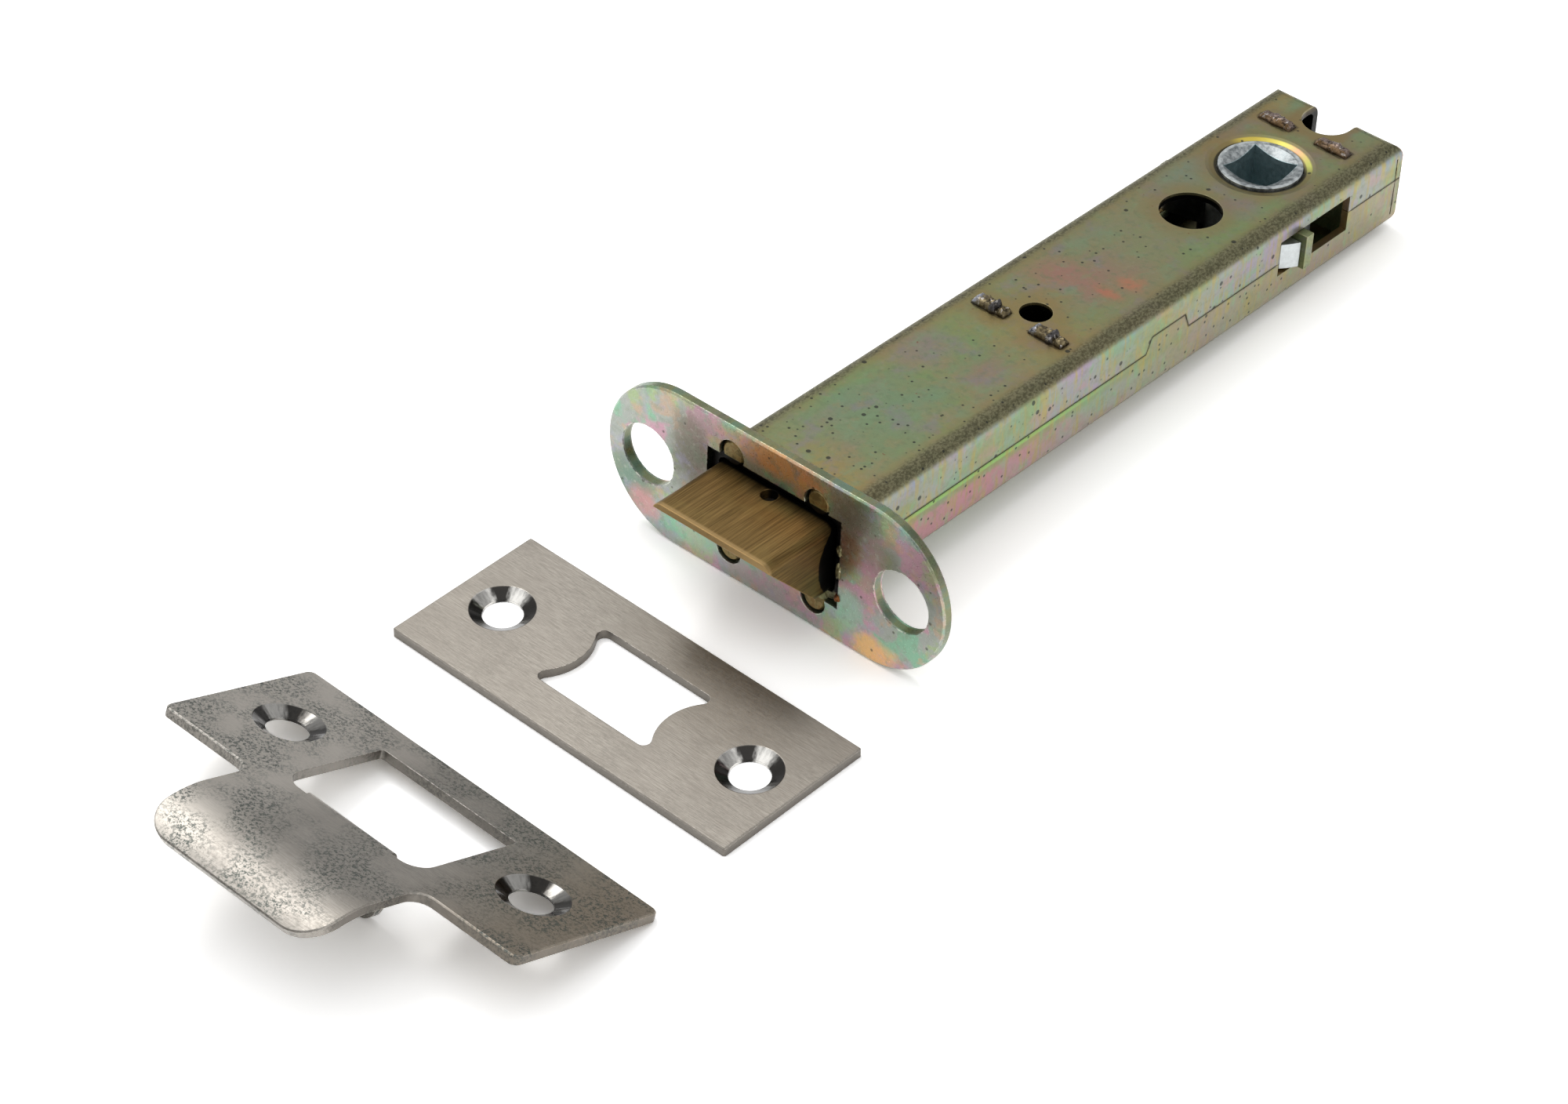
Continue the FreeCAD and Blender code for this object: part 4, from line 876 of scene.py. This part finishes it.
def coil(name, node, material, wire, radius, turns, body):
    """A round-wire coil along Y that stands for the CAD one, which is hidden."""
    low, high = box_mm(node)
    start, end = low.y + wire / 2, high.y - wire / 2
    steps = turns * STEPS_PER_TURN
    centres = []
    for step in range(steps + 1):
        share = step / steps
        angle = 2 * math.pi * turns * share
        y = start + share * (end - start)
        centres.append(Vector((radius * math.sin(angle), y, radius * math.cos(angle))))
    mesh = tube(name, centres, wire / 2, COIL_SIDES)
    piece = add_piece(name, mesh, material, body)
    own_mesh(piece)
    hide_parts(node)


TOP_RISE, BOTTOM_RISE = 1.42, 0.92
LUMP_SINK = 0.12
LUMP_COLUMNS, LUMP_ROWS = 72, 26

# The burrs right of the bolt: x, z, half height
BURRS = ((11.90, 2.5, 0.85), (11.85, -0.9, 1.45), (11.9, -5.5, 0.6))


def bump_at(value, centre, reach):
    return math.exp(-((value - centre) / reach) ** 2)


def lump_rise(along, split):
    """The height of a staked head along its length, from -1 to 1. Split ones have a ridge and a neck."""
    ends = max(0.0, 1 - abs(along) ** 7) ** 0.5
    if not split:
        return ends * (0.70 + 0.20 * math.sin(4.3 * along + 1))
    block = 0.82 - 0.06 * math.cos(4 * along)
    return ends * (block + 0.30 * bump_at(along, 0.22, 0.11) - 0.46 * bump_at(along, 0.46, 0.08)
                   - 0.10 * (along > 0.46))


def lump_width(along, split):
    """Half the width of a staked head along its length, from -1 to 1."""
    if not split:
        return LUMP_WIDTH * (0.92 + 0.08 * math.cos(5 * along))
    return LUMP_WIDTH * (1 + 0.14 * bump_at(along, 0.22, 0.16) - 0.26 * bump_at(along, 0.47, 0.10)
                         - 0.10 * (along > 0.47))


def lump_points(centre, upward, split, tall):
    """The points of a staked head's bruised top, column by column."""
    points = []
    for column in range(LUMP_COLUMNS + 1):
        along = -math.cos(math.pi * column / LUMP_COLUMNS)
        width = lump_width(along, split)
        for row in range(LUMP_ROWS + 1):
            across = -math.cos(math.pi * row / LUMP_ROWS)
            place = Vector((along * LUMP_LENGTH, across * width, 0))
            rough = noise.noise((place + Vector(centre)) * 1.1) * 0.30 + noise.noise(place * 2.7) * 0.14
            rise = lump_rise(along, split) * max(0.0, 1 - abs(across) ** (4.5 if split else 2.6)) ** 0.5
            edge = min(1.0, 5 * (1 - abs(across)), 9 * (1 - abs(along)))
            height = tall * rise + rough * edge - LUMP_SINK
            points.append((centre[0] + place.x + 0.3 * rough * edge,
                           centre[1] + place.y + 0.5 * rough * edge,
                           centre[2] + upward * height))
    return points


def staked_lump(name, centre, upward, split, tall, material):
    """A peened head over a cross plate's tab: a bruised mound with steep sides and a closed underside."""
    columns, rows = LUMP_COLUMNS, LUMP_ROWS
    points = lump_points(centre, upward, split, tall)
    top = len(points)
    points += [(x, y, centre[2] - upward * 0.3) for x, y, _ in points]
    faces = []
    for column in range(columns):
        for row in range(rows):
            first = column * (rows + 1) + row
            quad = (first, first + rows + 1, first + rows + 2, first + 1)
            under = tuple(top + index for index in quad)
            faces.append(quad if upward > 0 else quad[::-1])
            faces.append(under[::-1] if upward > 0 else under)
    rim = [column * (rows + 1) for column in range(columns + 1)]
    rim += [columns * (rows + 1) + row for row in range(1, rows + 1)]
    rim += [column * (rows + 1) + rows for column in range(columns - 1, -1, -1)]
    rim += list(range(rows - 1, 0, -1))
    for index, here in enumerate(rim):
        following = rim[(index + 1) % len(rim)]
        wall = (here, top + here, top + following, following)
        faces.append(wall if upward > 0 else wall[::-1])
    add_piece(name, mesh_from(name, points, faces), material, "case")


def bead(name, centre, radii, material, seed):
    """A small burr of displaced metal."""
    shape = bmesh.new()
    bmesh.ops.create_icosphere(shape, subdivisions=4, radius=1.0)
    for vertex in shape.verts:
        rough = 1 + 0.35 * noise.noise(vertex.co * 1.4 + Vector((seed, 0, 0)))
        place = Vector(a * b for a, b in zip(vertex.co, radii)) * rough + Vector(centre)
        vertex.co = place * MM
    mesh = bpy.data.meshes.new(name)
    shape.to_mesh(mesh)
    shape.free()
    add_piece(name, mesh, material, "case")


# The camera, where the photograph was taken

PHOTO_WIDTH, PHOTO_HEIGHT = 2000, 1408
CAMERA_PLACE = Vector((0.296981, -0.346773, 0.362162))
YAW, PITCH, ROLL = 0.702797, -0.677801, 0.044282
FOCAL_PIXELS = 5571.296
CENTRE_X, CENTRE_Y = 1006.529, 713.212
SENSOR = 36.0
VIEW_END = 20


def add_camera():
    ahead = Vector((-math.sin(YAW) * math.cos(PITCH), math.cos(YAW) * math.cos(PITCH), math.sin(PITCH)))
    right = Vector((math.cos(YAW), math.sin(YAW), 0))
    upward = right.cross(ahead)
    turned_right = right * math.cos(ROLL) + upward * math.sin(ROLL)
    turned_up = upward * math.cos(ROLL) - right * math.sin(ROLL)
    axes = Matrix((turned_right, turned_up, -ahead)).transposed().to_4x4()
    data = bpy.data.cameras.new("photo_camera")
    data.sensor_width = SENSOR
    data.sensor_fit = "HORIZONTAL"
    data.lens = FOCAL_PIXELS / PHOTO_WIDTH * SENSOR
    data.shift_x = (PHOTO_WIDTH / 2 - CENTRE_X) / PHOTO_WIDTH
    data.shift_y = (CENTRE_Y - PHOTO_HEIGHT / 2) / PHOTO_WIDTH
    data.clip_end = VIEW_END
    camera = add_object("photo_camera", data)
    camera.matrix_world = Matrix.Translation(CAMERA_PLACE) @ axes
    bpy.context.scene.camera = camera


# Floor and light

FLOOR_HALF = 4.0
FLOOR_DROP = 0.02
KEY_DIRECTION = Vector((-0.50, 0.14, 0.85)).normalized()
KEY_DISTANCE = 0.8
KEY_WIDTH = 0.26
KEY_POWER = 1.25
KEY_COLOUR = (1.0, 0.985, 0.96)
LIGHT_CENTRE = Vector((0, 0.03, 0))

# The studio: its strength low down and overhead, then patches as direction, cosines, strength
WORLD_HORIZON = 0.42
WORLD_ZENITH = 1.30
WORLD_PATCHES = (
    ((0.509, -0.595, 0.621), 0.97, 0.86, 0.10),
    ((0.42, 0.63, 0.65), 0.97, 0.80, 0.30),
    ((-0.49, 0.63, 0.60), 0.95, 0.62, 0.78),
    ((-0.49, 0.87, 0.05), 0.98, 0.88, 0.12),
    ((0.86, 0.0, 0.50), 0.93, 0.72, 1.10),
)


def add_floor():
    """The plane that the forend's lower edge and the rear stakes rest on."""
    forend_low, forend_high = box_mm("forend_plate")
    tilt = math.atan2(rear_low.z - forend_low.z, rear_high.y - forend_high.y)
    mesh = bpy.data.meshes.new("floor")
    corners = [(x * FLOOR_HALF, y * FLOOR_HALF, 0) for x, y in ((-1, -1), (1, -1), (1, 1), (-1, 1))]
    mesh.from_pydata(corners, [], [(0, 1, 2, 3)])
    floor = add_object("floor", mesh)
    rest = Vector((0, forend_high.y, forend_low.z - FLOOR_DROP)) * MM
    floor.matrix_world = Matrix.Translation(rest) @ Matrix.Rotation(tilt, 4, "X")
    floor.data.materials.append(floor_finish())


def add_softbox():
    data = bpy.data.lights.new("key_softbox", "AREA")
    data.shape = "SQUARE"
    data.size = KEY_WIDTH
    data.energy = KEY_POWER
    data.color = KEY_COLOUR
    light = add_object("key_softbox", data)
    place = LIGHT_CENTRE + KEY_DIRECTION * KEY_DISTANCE
    aim = KEY_DIRECTION.to_track_quat("Z", "Y").to_matrix().to_4x4()
    light.matrix_world = Matrix.Translation(place) @ aim


def add_world():
    """Light from all round: brighter overhead, with the darker parts of a studio."""
    world = bpy.data.worlds.new("studio")
    bpy.context.scene.world = world
    world.use_nodes = True
    sky = Tree(world.node_tree)
    direction = sky.put("TexCoord").outputs["Generated"]
    height = sky.put("SeparateXYZ", Vector=direction).outputs["Z"]
    level = sky.span(height, 0.0, 0.9, WORLD_HORIZON, WORLD_ZENITH)
    for place, inner, outer, strength in WORLD_PATCHES:
        near = sky.vector("DOT_PRODUCT", direction, Vector(place).normalized())
        level = sky.blend(sky.span(near, outer, inner), level, strength)
    level = sky.blend(sky.put("LightPath").outputs["Is Camera Ray"], level, 1.0)
    background = sky.nodes["Background"].inputs
    sky.feed(background["Color"], (1.0, 1.0, 1.0, 1.0))
    sky.feed(background["Strength"], level)


# Putting it together

def dress_nodes(bruised, spring):
    finishes = {
        "upper_case_shell": passivated("passivated_steel", 1.0),
        "lower_case_shell": passivated("passivated_steel_lower", 2.0, lower=True),
        "mid_spring_plate": bruised,
        "rear_stop_plate": bruised,
        "carriage": inner_finish(),
        "forend_plate": forend_finish(),
        "bolt_head": brass_finish(),
        "bolt_tail": spring,
        "bolt_pin": spring,
        "follower": zinc_finish(),
        "forend_cover_plate": nickel_finish(
            "satin_nickel", ("cover_screw_left", "cover_screw_right"), COVER_SINK_RADIUS,
            COVER_TONES, mottle=0.10, seed=1.0, glints=COVER_GLINTS),
        "strike_plate": nickel_finish(
            "satin_nickel_strike", ("strike_screw_left", "strike_screw_right"), STRIKE_SINK_RADIUS,
            STRIKE_TONES, mottle=0.95, seed=5.0, glints=STRIKE_GLINTS, faded=True),
    }
    for node, material in finishes.items():
        dress(node, material)


def add_springs(material):
    coil("bolt_coil", "bolt_spring", material, wire=0.9, radius=3.3, turns=5,
         body="carriage")
    coil("lever_coil", "lever_spring", material, wire=1.5, radius=4.95, turns=4,
         body="case")


def add_stakes(material):
    for row, y in enumerate(STAKE_ROWS):
        for side, side_name in ((-1, "left"), (1, "right")):
            for upward, end_name, tall in ((1, "top", TOP_RISE), (-1, "bottom", BOTTOM_RISE)):
                name = "staked_head_%d_%s_%s" % (row + 1, side_name, end_name)
                centre = (side * STAKE_X, y, upward * HALF_HEIGHT)
                staked_lump(name, centre, upward, row == 0, tall, material)


def add_burrs():
    material = burr_finish()
    for index, (x, z, size) in enumerate(BURRS):
        bead("opening_burr_%d" % (index + 1), (x, 0.15, z), (0.50, 0.5, size), material, index * 3.1)


add_camera()
add_floor()
add_softbox()
add_world()
bruised_steel = stake_finish()
spring_steel = spring_finish()
dress_nodes(bruised_steel, spring_steel)
add_springs(spring_steel)
add_stakes(bruised_steel)
add_burrs()

bpy.context.scene.view_settings.view_transform = "Standard"
